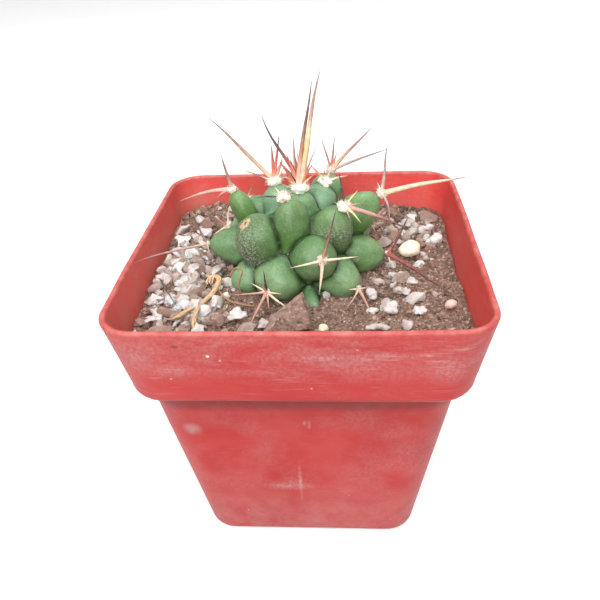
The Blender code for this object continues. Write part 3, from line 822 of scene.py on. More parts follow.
DUSTY_PLACES = (  # middle, half sizes, turn, strength
    ((-24.9, -33.0, 42.1), (2.6, 4, 2.3), 10, 0.7),
    ((-4.2, -30.0, 20.3), (8.8, 4, 2.3), -5, 0.8),
    ((-3.0, -30.0, 22.0), (5.0, 4, 3.4), 0, 0.45),
    ((-22.5, -28.3, 6.9), (7.0, 4, 5.0), 0, 0.55),
    ((-31.5, -38.0, 67.0), (7.0, 8, 7.0), 0, 0.75),
    ((-25.0, -38.5, 63.5), (9.0, 5, 3.0), 4, 0.7),
    ((6.0, -39.0, 67.0), (12.0, 5, 1.8), -4, 0.9),
    ((17.0, -39.0, 67.5), (4.0, 5, 1.8), 0, 0.9),
    ((30.0, -38.6, 64.0), (7.0, 6, 6.0), 30, 0.75),
    ((24.0, -33.0, 34.0), (8.0, 5, 9.0), 0, 0.4),
    ((32.0, -31.0, 26.0), (4.0, 8, 9.0), 0, 0.5),
)
SCRATCHED_PLACES = (
    ((-1.4, -30.2, 21.8), (0.6, 4, 9.0), 6),
    ((1.6, -33.2, 43.9), (0.5, 4, 2.0), -12),
    ((0.6, -33.2, 44.5), (0.5, 4, 1.2), 32),
    ((31.3, -39.4, 69.2), (4.4, 4, 0.6), 29),
    ((25.5, -39.4, 67.6), (2.8, 4, 0.5), 14),
    ((27.5, -39.4, 66.0), (3.4, 4, 0.5), 38),
)


def rounded(x, y, half, corner):
    """A point of a square from -1 to 1 each way, moved into a rounded square."""
    reach = max(abs(x), abs(y))
    if reach < 1e-6:
        return 0.0, 0.0
    edge_x, edge_y = abs(x) / reach * half, abs(y) / reach * half
    over_x, over_y = edge_x - (half - corner), edge_y - (half - corner)
    shrink = 1.0
    if over_x > 0 and over_y > 0:
        length = math.hypot(edge_x, edge_y)
        way = (edge_x / length, edge_y / length)
        middle = half - corner
        along = way[0] * middle + way[1] * middle
        shrink = (along + math.sqrt(max(0, along**2 - 2 * middle**2 + corner**2))) / length
    ease = reach**3
    scale = half * (1 - ease + ease * shrink)
    return x * scale, y * scale


def make_soil(finish):
    """The soil's rough surface, closed below by a block that fills the pot."""
    bm = bmesh.new()
    bmesh.ops.create_grid(bm, x_segments=SOIL_CELLS, y_segments=SOIL_CELLS, size=1)
    for vert in bm.verts:
        x, y = rounded(vert.co.x, vert.co.y, inner_half(SOIL_LEVEL) - SOIL_GAP, RIM_CORNER - WALL)
        vert.co = (x, y, ground(x, y))
        wall = inner_half(vert.co.z) - SOIL_GAP
        for axis in (0, 1):
            vert.co[axis] = max(-wall, min(wall, vert.co[axis]))
    edge = [e for e in bm.edges if e.is_boundary]
    top_half = inner_half(SOIL_LEVEL)
    shelf = COLLAR_FOOT + WALL + 0.3
    shelf_levels = ((COLLAR_HALF - WALL - 0.1, shelf), (BODY_HALF - WALL - 0.3, shelf))
    for half, z in (*shelf_levels, (BASE_HALF - WALL - 0.5, SOIL_FOOT)):
        lower = bmesh.ops.duplicate(bm, geom=edge)["geom"]
        for item in lower:
            if isinstance(item, bmesh.types.BMVert):
                item.co = (item.co.x * half / top_half, item.co.y * half / top_half, z)
        lower = [item for item in lower if isinstance(item, bmesh.types.BMEdge)]
        bmesh.ops.bridge_loops(bm, edges=edge + lower)
        top_half = half
        edge = lower
    bmesh.ops.holes_fill(bm, edges=edge, sides=0)
    show("soil_surface", make_mesh("soil_block", bm, True), finish, ["soil"], sharp=80)


def sandy_soil(name="sandy soil", paleness=0.0):
    """Gritty brown soil: patches, crumbs and single grains of sand."""
    finish = Finish(name, Metallic=0.0, Specular_IOR_Level=0.25)
    patch = finish.noise(9, 4, 0.6)
    dark = (104 + 34 * paleness, 80 + 32 * paleness, 66 + 32 * paleness)
    middle = (133 + 18 * paleness, 104 + 19 * paleness, 89 + 20 * paleness)
    brown = finish.ramp(patch, (0.32, dark), (0.5, middle), (0.68, (150, 124, 109)))
    crumbs = finish.noise(1.3, 5, 0.75)
    brown = finish.tinge(brown, crumbs, (0.34, 0.75), (0.52, 0.0), (78, 60, 50))
    brown = finish.tinge(brown, crumbs, (0.55, 0.0), (0.7, 0.5), (190, 164, 148))
    sand = finish.add("SeparateColor", {0: finish.cells(0.42, output="Color")}).outputs[0]
    brown = finish.tinge(brown, sand, (0.0, 0.4), (0.2, 0.0), (92, 70, 58))
    brown = finish.tinge(brown, sand, (0.82, 0.0), (1.0, 0.6), (206, 184, 170))
    depth = finish.bump(finish.noise(0.45, 4, 0.7), 0.22)
    depth = finish.bump(finish.cells(0.5), 0.1, depth)
    return finish.use(Base_Color=brown, Roughness=finish.ramp(patch, (0, 0.85), (1, 1.0)), Normal=depth)


def tinted(name, **values):
    """A finish whose colour runs from dark to pale with each grain's own tint."""
    dark, middle, pale, roughness, grain, depth = TINTED[name]
    finish = Finish(name, Metallic=0.0, **values)
    colour = finish.ramp(finish.attribute("tint"), (0.0, dark), (0.5, middle), (1.0, pale))
    mottle = finish.noise(grain * 1.6, 4, 0.7)
    colour = finish.tinge(colour, mottle, (0.35, 0.35), (0.6, 0.0), tuple(c * 0.7 for c in dark))
    colour = finish.tinge(colour, mottle, (0.55, 0.0), (0.75, 0.35), pale)
    bumps = finish.bump(finish.noise(grain, 4, 0.65), depth)
    return finish.use(Base_Color=colour, Roughness=roughness, Normal=bumps)


def stone_shape(seed, subdivisions, lumps, planes):
    """A small stone about one across: a ball with lumps and a few flat sides."""
    draw = random.Random(seed)
    bm = bmesh.new()
    bmesh.ops.create_icosphere(bm, subdivisions=subdivisions, radius=0.5)
    offset = Vector((seed * 3.1, seed * 1.7, 0))
    sides = []
    for _ in range(planes):
        way = Vector((draw.gauss(0, 1), draw.gauss(0, 1), draw.gauss(0, 1))).normalized()
        sides.append((way, draw.uniform(0.24, 0.4)))
    for vert in bm.verts:
        vert.co *= 1 + lumps * noise.noise(vert.co * 2.4 + offset)
        for way, reach in sides:
            over = vert.co.dot(way) - reach
            if over > 0:
                vert.co -= way * over * 0.85
    return make_mesh("stone_shape", bm, outwards=True)


def scatter(name, shapes, spots, finish, sharp=None):
    """One piece from copies of small shapes: each spot is a place, a turn, three sizes and a tint."""
    forms = []
    for shape in shapes:
        faces = np.array([tuple(face.vertices) for face in shape.polygons])
        forms.append((points_of(shape), faces))
    points, faces, tints = [], [], []
    start = 0
    for number, (place, turn, sizes, tint) in enumerate(spots):
        form, form_faces = forms[number % len(forms)]
        turned = (form * np.array(sizes)) @ np.array(turn.to_3x3()).T + np.array(place)
        points.append(turned)
        faces.append(form_faces + start)
        tints.append(np.full(len(form), tint))
        start += len(form)
    mesh = bpy.data.meshes.new(name)
    mesh.from_pydata(np.concatenate(points).tolist(), [], np.concatenate(faces).tolist())
    paint(mesh, "tint", np.concatenate(tints))
    for shape in shapes:
        bpy.data.meshes.remove(shape)
    return show(name, mesh, finish, sharp=sharp)


def any_turn(draw):
    spin = Matrix.Rotation(draw.uniform(0, math.tau), 3, "Z")
    return spin @ Matrix.Rotation(draw.uniform(0, math.tau), 3, "X")


def settled(draw):
    """A turn for a flat thing that lies nearly level."""
    tip = Matrix.Rotation(draw.gauss(0, 0.3), 3, "X") @ Matrix.Rotation(draw.gauss(0, 0.3), 3, "Y")
    return tip @ Matrix.Rotation(draw.uniform(0, math.tau), 3, "Z")


def free_spot(draw, margin=1.2):
    """A random place on the soil, inside the walls and outside the stem."""
    while True:
        half = inner_half(SOIL_LEVEL) - margin
        x, y = draw.uniform(-half, half), draw.uniform(-half, half)
        corner = half - RIM_CORNER + 2
        over = math.hypot(max(0, abs(x) - corner), max(0, abs(y) - corner))
        if over < RIM_CORNER - 2 and math.hypot(x - STEM.x, y - STEM.y) > CORE_RADIUS - 1.5:
            return x, y


def white_share(x, y):
    """How much of the soil is covered by perlite here, from 0 to 1."""
    left = math.exp(-(((x + 29) / 8.5) ** 2 + ((y + 4) / 21) ** 2) ** 1.6)
    back_right = 0.5 * math.exp(-(((x - 29) / 8) ** 2 + ((y - 20) / 10) ** 2))
    right = 0.07 * math.exp(-(((x - 22) / 8) ** 2 + ((y + 12) / 11) ** 2))
    front = 0.12 * math.exp(-(((x + 16) / 14) ** 2 + ((y + 27) / 7) ** 2))
    back = 0.1 * math.exp(-(((x + 10) / 24) ** 2 + ((y - 30) / 8) ** 2))
    return min(1.0, left + back_right + right + front + back)


def make_grains(looks):
    """Loose sand, gravel, perlite crumbs and litter on the soil."""
    draw = random.Random(11)
    sand, gravel, white, litter = [], [], [], []
    while len(sand) < SAND_COUNT:
        x, y = free_spot(draw, 0.5)
        if draw.random() < white_share(x, y) * 0.75:
            continue
        size = min(1.5, 0.34 + draw.expovariate(1 / 0.2))
        sizes = (size, size * draw.uniform(0.65, 1), size * draw.uniform(0.55, 0.9))
        sand.append(((x, y, ground(x, y) + 0.12 * size), any_turn(draw), sizes, draw.random()))
    while len(gravel) < GRAVEL_COUNT:
        x, y = free_spot(draw, 1.4)
        back = y > 12
        if not back and draw.random() < 0.45:
            continue
        size = draw.uniform(1.0, 2.6 if back else 1.9)
        sizes = (size, size * draw.uniform(0.65, 1), size * draw.uniform(0.5, 0.8))
        gravel.append(((x, y, ground(x, y) + 0.1 * size), any_turn(draw), sizes, draw.random()))
    while len(white) < CRUMB_COUNT:
        x, y = free_spot(draw, 1.6)
        if draw.random() > white_share(x, y):
            continue
        size = min(5.0, 1.1 + draw.expovariate(1 / 1.2))
        sizes = (size, size * draw.uniform(0.7, 1), size * draw.uniform(0.5, 0.8))
        lift = 0.1 * size + (0.8 * draw.random() if x < -18 else 0)
        white.append(((x, y, ground(x, y) + lift), any_turn(draw), sizes, draw.random()))
    for x, y, z, size in STEM_CRUMBS:
        white.append(((x, y, z), any_turn(draw), (size, size, size * 0.6), 0.6))
    while len(litter) < LITTER_COUNT:
        x, y = free_spot(draw, 2.2)
        if y > -8 and draw.random() < 0.7:
            continue
        size = draw.uniform(1.2, 3.4)
        sizes = (size, size * draw.uniform(0.16, 0.4), size * 0.12)
        litter.append(((x, y, ground(x, y) + 0.3), settled(draw), sizes, draw.random()))
    kinds = (  # name, spots, slot, sharp angle, first seed, number of shapes, how a shape is made
        ("sand_grains", sand, "sandy_soil", 25, 0, 5, (1, 0.5, 2)),
        ("gravel", gravel, "sandy_soil", 30, 20, 6, (2, 0.6, 4)),
        ("perlite_crumbs", white, "white_perlite", 45, 40, 8, (2, 0.8, 2)),
        ("dry_litter", litter, "dry_root", 30, 60, 4, (1, 0.6, 1)),
    )
    for name, spots, slot, sharp, seed, count, make in kinds:
        shapes = [stone_shape(seed + number, *make) for number in range(count)]
        scatter(name, shapes, spots, looks[name], sharp)


def copy_of(node):
    """A welded copy of a part's mesh, in millimetres."""
    bm = bmesh.new()
    bm.from_mesh(frame["nodes"][node].data)
    bmesh.ops.scale(bm, vec=(1 / MM,) * 3, verts=bm.verts)
    bmesh.ops.remove_doubles(bm, verts=bm.verts, dist=0.002)
    return bm


def roughen(bm, cuts, soften, lumps, seed):
    """Finer faces, softened corners, then lumps: each is a depth and a size."""
    for _ in range(cuts):
        bmesh.ops.subdivide_edges(bm, edges=bm.edges, cuts=1, use_grid_fill=True)
        for _ in range(soften):
            relax(bm, 0.35)
    bm.normal_update()
    for vert in bm.verts:
        push = 0.0
        for number, (depth, size) in enumerate(lumps):
            push += depth * noise.noise(vert.co / size + Vector((seed, number * 5, 0)))
        vert.co += vert.normal * push


def swell(bm, wider, taller):
    """Enlarges a stone about its middle, to make up for what softening took off."""
    middle = sum((vert.co for vert in bm.verts), Vector()) / len(bm.verts)
    for vert in bm.verts:
        vert.co = middle + (vert.co - middle) * Vector((wider, wider, taller))


def make_stones(white_finish, cream_finish, clod_finish):
    """The larger loose things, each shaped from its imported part."""
    names = [name for name in sorted(frame["nodes"]) if name.startswith("perlite")]
    whole = bmesh.new()
    tints = []
    for number, name in enumerate(names):
        bm = copy_of(name)
        roughen(bm, 3, 1, ((1.1, 1.7), (0.4, 0.7)), number * 7)
        swell(bm, *CHIP_GROWTH)
        tints += [0.3 + 0.7 * ((0.75 + number * 0.37) % 1)] * len(bm.verts)
        pour(bm, whole)
    mesh = make_mesh("chips", whole)
    paint(mesh, "tint", tints)
    show("perlite_chips", mesh, white_finish, names)
    for number, (name, (times, tint)) in enumerate(PEBBLES.items()):
        bm = copy_of(name)
        roughen(bm, 2, 2, ((0.5, 2.2), (0.12, 0.7)), number)
        swell(bm, times, times)
        mesh = make_mesh("pebble", bm)
        paint(mesh, "tint", [tint] * len(mesh.vertices))
        show("rounded_" + name, mesh, cream_finish, [name])
    bm = copy_of("soil_clod")
    roughen(bm, 5, 0, ((0.3, 2.6), (0.1, 0.9), (0.04, 0.4)), CLOD_SEED)
    for vert in bm.verts:
        vert.co.x -= CLOD_SHIFT
        vert.co.z += CLOD_RISE * (vert.co.z - SOIL_LEVEL)
    show("dry_clod", make_mesh("clod", bm), clod_finish, ["soil_clod"])


def tubercle_ends(name):
    """Where a tubercle starts inside the stem, and its tip."""
    azimuth, tip_distance, tip_height, _, foot_distance, foot_height = TUBERCLES[name][:6]
    return polar(azimuth, foot_distance, foot_height), polar(azimuth, tip_distance, tip_height)


def tubercle_width(name, shares):
    """How wide a tubercle is at shares of its length, against its widest."""
    pointed = TUBERCLES[name][6]
    above = np.clip((shares - WIDEST) / (1 - WIDEST), 0, 1)
    below = np.clip((WIDEST - shares) / WIDEST, 0, 1)
    return (1 - above ** (3 - 1.4 * pointed)) ** (0.42 + 0.2 * pointed) * (1 - below**2) ** 0.5


def grow_tubercle(bm, name, seed):
    """A blunt finger with soft, uneven flanks."""
    draw = random.Random(seed)
    foot, tip = tubercle_ends(name)
    half_width = TUBERCLES[name][3]
    length = (tip - foot).length
    shape = bmesh.new()
    bmesh.ops.create_uvsphere(shape, u_segments=48, v_segments=40, radius=1)
    ridge = draw.uniform(0, math.tau)
    flank = draw.uniform(0, math.tau)
    for vert in shape.verts:
        share = (1 + vert.co.z) / 2
        spread = math.hypot(vert.co.x, vert.co.y)
        if spread > 0.001:
            angle = math.atan2(vert.co.y, vert.co.x)
            uneven = 0.045 * math.cos(3 * angle + ridge) + 0.025 * math.cos(5 * angle + flank)
            width = half_width * float(tubercle_width(name, share)) * (1 + uneven * share)
            vert.co.x *= width / spread
            vert.co.y *= width / spread
        vert.co.z = length * share
    turn = UP.rotation_difference(tip - foot).to_matrix().to_4x4()
    bmesh.ops.transform(shape, matrix=Matrix.Translation(foot) @ turn, verts=shape.verts)
    pour(shape, bm)


def stem_marks(points):
    """For each point: share along its tubercle, closeness to a crease, and the tubercle's number."""
    distances, shares = [], []
    for name, row in TUBERCLES.items():
        foot, tip = (np.array(end) for end in tubercle_ends(name))
        length = np.linalg.norm(tip - foot)
        axis = (tip - foot) / length
        along = (points - foot) @ axis
        share = np.clip(along / length, 0.02, 0.995)
        beside = np.linalg.norm(points - foot - np.outer(along, axis), axis=1)
        width = row[3] * tubercle_width(name, share)
        distances.append(beside - width + np.clip(along - length, 0, 99))
        shares.append(share)
    distances = np.array(distances)
    order = np.argsort(distances, axis=0)
    own = order[0]
    index = np.arange(len(points))
    nearest = distances[own, index]
    second = distances[order[1], index]
    crease = np.exp(-np.clip(second - nearest, 0, 99) / 0.6)
    return np.array(shares)[own, index], crease, own


def make_stem(finish):
    """The core and its tubercles grown into one skin, with what the finish needs painted on it."""
    bm = bmesh.new()
    bmesh.ops.create_icosphere(bm, subdivisions=5, radius=CORE_RADIUS, matrix=Matrix.Translation(STEM))
    place = Matrix.Translation(STEM - UP * NECK_DROP)
    bmesh.ops.create_cone(bm, cap_ends=True, segments=48, matrix=place, **NECK)
    for seed, name in enumerate(TUBERCLES):
        grow_tubercle(bm, name, seed)
    grown = make_mesh("stem_growth", bm)
    mesh = finished("stem_growth", grown, "REMESH", mode="VOXEL", voxel_size=STEM_CELL)
    bm = bmesh.new()
    bm.from_mesh(mesh)
    bpy.data.meshes.remove(mesh)
    relax(bm, 0.5)
    bm.normal_update()
    crease = stem_marks(np.array([vert.co for vert in bm.verts]))[1]
    for vert, depth in zip(bm.verts, crease):
        dent = -CREASE_DEPTH * depth**2
        for height, size, offset in STEM_LUMPS:
            dent += height * noise.noise(vert.co / size + offset)
        vert.co += vert.normal * dent
    mesh = make_mesh("stem", bm)
    points = points_of(mesh)
    share, crease, own = stem_marks(points)
    names = list(TUBERCLES)
    coolness, painted_shading = np.array([TUBERCLES[name][7:] for name in names]).T
    left_front, right_front = own == names.index("left_front"), own == names.index("right_front")
    # Pale scales low down on the left of one tubercle, and round the top of another
    to_left = np.clip((STEM.x - 8.0 - points[:, 0]) / 5 + 0.35, 0, 1)
    low = np.clip((1 - share) * 2.2, 0, 1)
    down = np.clip((79.5 - points[:, 2]) / 4, 0, 1) * np.clip((share - 0.55) / 0.25, 0, 1)
    scaly = np.where(left_front, to_left * np.clip(low + 0.35, 0, 1), 0)
    scaly = np.where(right_front, 0.7 * down, scaly)
    scar = 1.6 - np.linalg.norm((points - np.array(SCAR_PLACE)) / np.array(SCAR_SIZE), axis=1)
    marks = {"share": share, "crease": crease, "tone": coolness[own], "shade": painted_shading[own]}
    marks.update({"scaly": scaly, "scar": np.where(left_front, scar, 0)})
    for name, values in marks.items():
        paint(mesh, name, values)
    show("cactus_body", mesh, finish, ["cactus_stem"])


def green_skin():
    """Matt grainy skin with a pale bloom and a painted highlight towards each tubercle's tip, painted
    shade over some whole tubercles, towards each tubercle's foot and in the creases, and corky where it
    has been hurt.
    """
    soft = {"Subsurface_Weight": 0.08, "Subsurface_Scale": 0.002}
    finish = Finish("green cactus skin", Metallic=0.0, IOR=1.42, **soft)
    finish.shader.inputs["Subsurface Radius"].default_value = (0.5, 1.0, 0.35)
    ramp, mix, times, tinge = finish.ramp, finish.mix, finish.times, finish.tinge
    share = finish.attribute("share")
    scaly = finish.attribute("scaly")
    cloud = finish.noise(5.5, 4, 0.6)
    green = ramp(cloud, (0.3, (70, 106, 46)), (0.5, (86, 124, 58)), (0.7, (102, 140, 74)))
    cool = ramp(cloud, (0.3, (86, 124, 94)), (0.5, (108, 146, 116)), (0.7, (134, 168, 142)))
    green = mix(finish.attribute("tone"), green, cool)
    # Partly a pale bloom, partly a painted highlight: paler towards each tubercle's tip
    bloom_and_highlight = times(ramp(share, (0.6, 0.0), (0.98, 0.4)), ramp(cloud, (0.3, 0.5), (0.7, 1.0)))
    green = mix(bloom_and_highlight, green, (164, 188, 148))
    # Painted shade: whole tubercles darkened as much as their row in TUBERCLES says
    green = mix(finish.attribute("shade"), green, (52, 86, 36))
    # Painted shade: darker green towards each tubercle's foot
    green = tinge(green, share, (0.25, 0.7), (0.68, 0.0), (58, 98, 32))
    grains = finish.noise(0.55, 4, 0.7)
    green = tinge(green, grains, (0.36, 0.3), (0.5, 0.0), (66, 110, 50))
    green = tinge(green, grains, (0.54, 0.0), (0.72, 0.3), (168, 196, 148))
    # Painted shade in the creases between tubercles
    crease_shade = ramp(finish.attribute("crease"), (0.05, 0.0), (0.35, 0.5), (0.8, 1.0))
    green = mix(crease_shade, green, (26, 46, 12))
    scales = times(scaly, ramp(finish.noise(0.42, 4, 0.8), (0.5, 0.0), (0.56, 1.0)))
    green = mix(times(scaly, 0.75), green, (66, 84, 58))
    green = mix(times(scales, 0.9), green, (206, 210, 196))
    cork = finish.noise(0.9, 4, 0.7)
    cork = ramp(cork, (0.3, (170, 134, 88)), (0.5, (214, 186, 140)), (0.7, (236, 218, 184)))
    ragged = times(finish.math("SUBTRACT", finish.noise(1.1, 4, 0.7), 0.5), 2.2)
    edge = times(finish.math("ADD", finish.attribute("scar"), ragged), 0.5)
    cork = tinge(cork, edge, (0.62, 0.0), (0.7, 1.0), (110, 72, 40))
    scar = ramp(edge, (0.25, 0.0), (0.34, 0.9))
    green = mix(scar, green, cork)
    skin = finish.bump(grains, 0.03)
    skin = finish.bump(finish.cells(0.5), 0.02, skin)
    skin = finish.bump(scales, 0.08, skin)
    skin = finish.bump(scar, 0.15, skin)
    return finish.use(Base_Color=green, Roughness=ramp(grains, (0.3, 0.3), (0.7, 0.45)), Normal=skin)


SPINE_RINGS = 16
SPINE_SIDES = 8


def horn_colour(name, share):
    """The colour of a spine at a share of its length."""
    stops = HORN[name]
    for (start, *first), (end, *second) in zip(stops, stops[1:]):
        if share <= end:
            part = (share - start) / (end - start)
            return linear(*(a + part * (b - a) for a, b in zip(first, second)))
    return linear(*stops[-1][1:])


def grow_spine(bm, colours, start, along, outward, row, kink, draw):
    """A bent cone with a swollen foot and a sharp tip, and the colour of each of its points."""
    length, radius, bow, colour = row
    side = along.orthogonal().normalized()
    other = along.cross(side)
    flat = draw.uniform(0.72, 0.95)
    knot = draw.uniform(0.3, 0.7)
    sway = Vector((draw.gauss(0, 1), draw.gauss(0, 1), draw.gauss(0, 1))) * 0.008 * length
    rings = []
    for number in range(SPINE_RINGS + 1):
        share = number / SPINE_RINGS
        wave = math.sin(math.tau * share)
        centre = start + along * length * share + outward * 4 * bow * length * share * (1 - share)
        centre += sway * wave * share + outward * kink * length * wave
        thick = radius * min(1.3, 0.9 + 0.9 * max(0, radius - 0.3)) * (1 - 0.9 * share**1.8)
        knob = 0.08 * math.exp(-(((share - knot) / 0.06) ** 2))
        thick *= 1 + 0.45 * math.exp(-share * length / 1.3) + knob
        rings.append(ring_of(SPINE_SIDES, centre, thick * side, thick * flat * other))
        for _ in range(SPINE_SIDES):
            colours.append(horn_colour(colour, min(1.0, max(0.0, share + draw.gauss(0, 0.006)))))
    bridge(bm, rings)


def radial_spines(axis, number):
    """Rows like those of SPINES, spread round a tubercle's axis."""
    across = axis.cross(UP).normalized()
    tilted = Matrix.Rotation(math.radians(RADIAL_TILT), 3, across) @ axis
    rows = []
    for step in range(RADIAL_COUNT):
        way = Matrix.Rotation(2 * math.pi * (step + 0.5) / RADIAL_COUNT, 3, axis) @ tilted
        azimuth = math.degrees(math.atan2(way.y, way.x))
        colour = RADIAL_COLOURS[(step + number) % len(RADIAL_COLOURS)]
        rows.append((azimuth, math.degrees(math.asin(way.z)), RADIAL_LENGTH, 0.3, 0.06, colour))
    return rows


def areole(name):
    """The middle of an areole and the axis of its tubercle."""
    foot, tip = tubercle_ends(name)
    axis = (tip - foot).normalized()
    return tip + axis * AREOLE_LIFT + AREOLE_SHIFT.get(name, Vector()), axis


def make_spines(finish):
    """One piece for each areole's spines."""
    for number, name in enumerate(SPINES):
        draw = random.Random(100 + number)
        centre, axis = areole(name)
        rows = list(SPINES[name])
        if name.startswith("back") and len(rows) == 1:
            rows += radial_spines(axis, number)
        bm = bmesh.new()
        colours = []
        for place, (azimuth, elevation, *row) in enumerate(rows):
            along = direction(azimuth, elevation)
            outward = axis - along * axis.dot(along)
            start = centre - axis * 0.3 + FOOT_SHIFT.get((name, place), Vector())
            grow_spine(bm, colours, start, along, outward, row, KINKED.get((name, place), 0), draw)
        mesh = make_mesh("spines", bm, outwards=True)
        paint(mesh, "horn", colours)
        show(name + "_spines", mesh, finish, ["spines_" + name])


def spine_horn():
    """Horn in the colours painted on each spine, with dull and pale streaks along it."""
    finish = Finish("spine horn", Metallic=0.0, IOR=1.5)
    horn = finish.attribute("horn", "Color")
    streak = finish.noise(0.9, 3, 0.6)
    dull = finish.mix(1.0, horn, (190, 156, 146), "MULTIPLY")
    horn = finish.tinge(horn, streak, (0.35, 0.3), (0.55, 0.0), dull)
    horn = finish.tinge(horn, streak, (0.56, 0.0), (0.75, 0.25), (240, 224, 206))
    rough = finish.ramp(streak, (0.3, 0.4), (0.7, 0.65))
    skin = finish.bump(finish.noise(0.3, 2, 0.5), 0.012)
    return finish.use(Base_Color=horn, Roughness=rough, Normal=skin)


def hair_shape():
    """A thin curved fibre along +Z, one long."""
    bm = bmesh.new()
    rings = []
    for step in range(HAIR_RINGS + 1):
        share = step / HAIR_RINGS
        thin = HAIR_RADIUS * (1 - 0.7 * share)
        centre = Vector((0.35 * share**2, 0.1 * math.sin(4 * share), share))
        rings.append(ring_of(3, centre, Vector((0, thin, 0)), Vector((thin, 0, 0))))
    bridge(bm, rings)
    bmesh.ops.triangulate(bm, faces=bm.faces)
    return make_mesh("hair", bm, outwards=True)


def make_wool(finish):
    """Felted pads on the areoles, with fine hairs."""
    draw = random.Random(8)
    hairs = []
    whole = bmesh.new()
    tints = []
    for name in SPINES:
        centre, axis = areole(name)
        size, grey = WOOL.get(name, USUAL_WOOL)
        turn = UP.rotation_difference(axis).to_matrix()
        pad = bmesh.new()
        bmesh.ops.create_icosphere(pad, subdivisions=4, radius=1)
        for vert in pad.verts:
            lump = 0.36 * noise.noise(vert.co * 1.9 + centre) + 0.09 * noise.noise(vert.co * 6 + centre)
            vert.co = vert.co * PAD_SHAPE * size * (1 + lump)
        place = Matrix.Translation(centre - axis * 0.35) @ turn.to_4x4()
        bmesh.ops.transform(pad, matrix=place, verts=pad.verts)
        tints += [1 - grey] * len(pad.verts)
        pour(pad, whole)
        for _ in range(int(HAIRS_PER_AREOLE * size**1.7)):
            angle, tilt = draw.uniform(0, math.tau), math.radians(min(88, abs(draw.gauss(0, 50))))
            level = Vector((math.cos(angle), math.sin(angle), 0))
            way = turn @ (level * math.sin(tilt) + UP * math.cos(tilt))
            out = 1.2 * size * draw.random() ** 0.6 * math.sin(tilt)
            spin = Matrix.Rotation(draw.uniform(0, math.tau), 3, "Z")
            spin = UP.rotation_difference(way).to_matrix() @ spin
            long = draw.uniform(0.6, 1.5) * (0.45 + 0.55 * size)
            tint = min(1, max(0, 1 - grey + draw.gauss(0, 0.12)))
            hairs.append((centre - axis * 0.2 + turn @ level * out, spin, (long, long, long), tint))
    mesh = make_mesh("pads", whole)
    paint(mesh, "tint", tints)
    show("areole_felt", mesh, finish)
    scatter("areole_wool", [hair_shape()], hairs, finish)


def woolly():
    """Matt felt, from cream where it is new to grey where it is old."""
    soft = {"Subsurface_Weight": 0.3, "Subsurface_Scale": 0.001, "Sheen_Weight": 0.4}
    finish = Finish("areole wool", Metallic=0.0, Roughness=0.95, Specular_IOR_Level=0.2, **soft)
    tint = finish.attribute("tint")
    colour = finish.ramp(tint, (0.0, (196, 172, 158)), (0.5, (226, 206, 192)), (1.0, (250, 245, 228)))
    felt = finish.noise(0.35, 4, 0.75)
    colour = finish.tinge(colour, felt, (0.36, 0.25), (0.5, 0.0), (222, 196, 160))
    return finish.use(Base_Color=colour, Normal=finish.bump(felt, 0.05))


def add_tube(bm, points, radii, sides=6):
    """A closed tube through points, with a radius at each."""
    rings = []
    side = (points[1] - points[0]).normalized().orthogonal().normalized()
    for number, (point, radius) in enumerate(zip(points, radii)):
        forward = (points[min(number + 1, len(points) - 1)] - points[max(number - 1, 0)]).normalized()
        side = (side - forward * side.dot(forward)).normalized()
        rings.append(ring_of(sides, point, radius * side, radius * forward.cross(side)))
    bridge(bm, rings)


def smooth_route(points, steps):
    """Points on a smooth curve through others."""
    padded = [points[0] * 2 - points[1]] + points + [points[-1] * 2 - points[-2]]
    route = []
    for a, b, c, d in zip(padded, padded[1:], padded[2:], padded[3:]):
        for step in range(steps):
            t = step / steps
            curve = 2 * b + (c - a) * t + (2 * a - 5 * b + 4 * c - d) * t**2
            route.append(0.5 * (curve + (3 * b - a - 3 * c + d) * t**3))
    route.append(points[-1])
    return route


def on_the_soil(route):
    return [Vector((x, y, ground(x, y) + lift)) for x, y, lift in route]


def show_tubes(name, bm, attribute, value, finish, replaced=()):
    """A piece from tubes, with the same value painted on all of it."""
    mesh = make_mesh(name, bm, outwards=True)
    paint(mesh, attribute, [value] * len(mesh.vertices))
    show(name, mesh, finish, replaced)


def make_strands(finish, horn_finish):
    """Frayed dry roots, brown rootlets and a fallen spine."""
    for number, (name, (route, radius, fibres)) in enumerate(ROOTS.items()):
        draw = random.Random(70 + number)
        middle = smooth_route(on_the_soil(route), 7)
        bm = bmesh.new()
        for fibre in range(fibres):
            phase = math.tau * fibre / fibres
            fray = draw.uniform(0.5, 1.6)
            points, radii = [], []
            for step, point in enumerate(middle):
                share = step / (len(middle) - 1)
                open_out = 1 + fray * (max(0, share - 0.7) / 0.3 + max(0, 0.15 - share) / 0.15)
                angle = phase + 2.6 * share
                offset = Vector((math.cos(angle), math.cos(angle + 0.9) * 0.6, math.sin(angle) * 0.6))
                points.append(point + offset * radius * 0.8 * open_out)
                radii.append(radius * 0.55 * (1 - 0.75 * max(0, share - 0.8) / 0.2))
            first, last = draw.randrange(6), len(points) - draw.randrange(9)
            radii[first] *= 0.3
            radii[last - 1] *= 0.3
            add_tube(bm, points[first:last], radii[first:last])
        show_tubes("frayed_" + name, bm, "tint", 0.6, finish, [name])
    bm = bmesh.new()
    for route in (on_the_soil(FOOT_ROOT), [Vector(point) for point in THREAD]):
        middle = smooth_route(route, 8)
        add_tube(bm, middle, [0.25 - 0.1 * step / len(middle) for step in range(len(middle))], 8)
    show_tubes("brown_rootlets", bm, "tint", 0.1, finish)
    bm = bmesh.new()
    middle = smooth_route(on_the_soil(LOOSE_SPINE), 8)
    add_tube(bm, middle, [0.3 * (1 - 0.85 * step / (len(middle) - 1)) for step in range(len(middle))], 8)
    show_tubes("fallen_spine", bm, "horn", linear(92, 76, 70), horn_finish, ["loose_spine"])


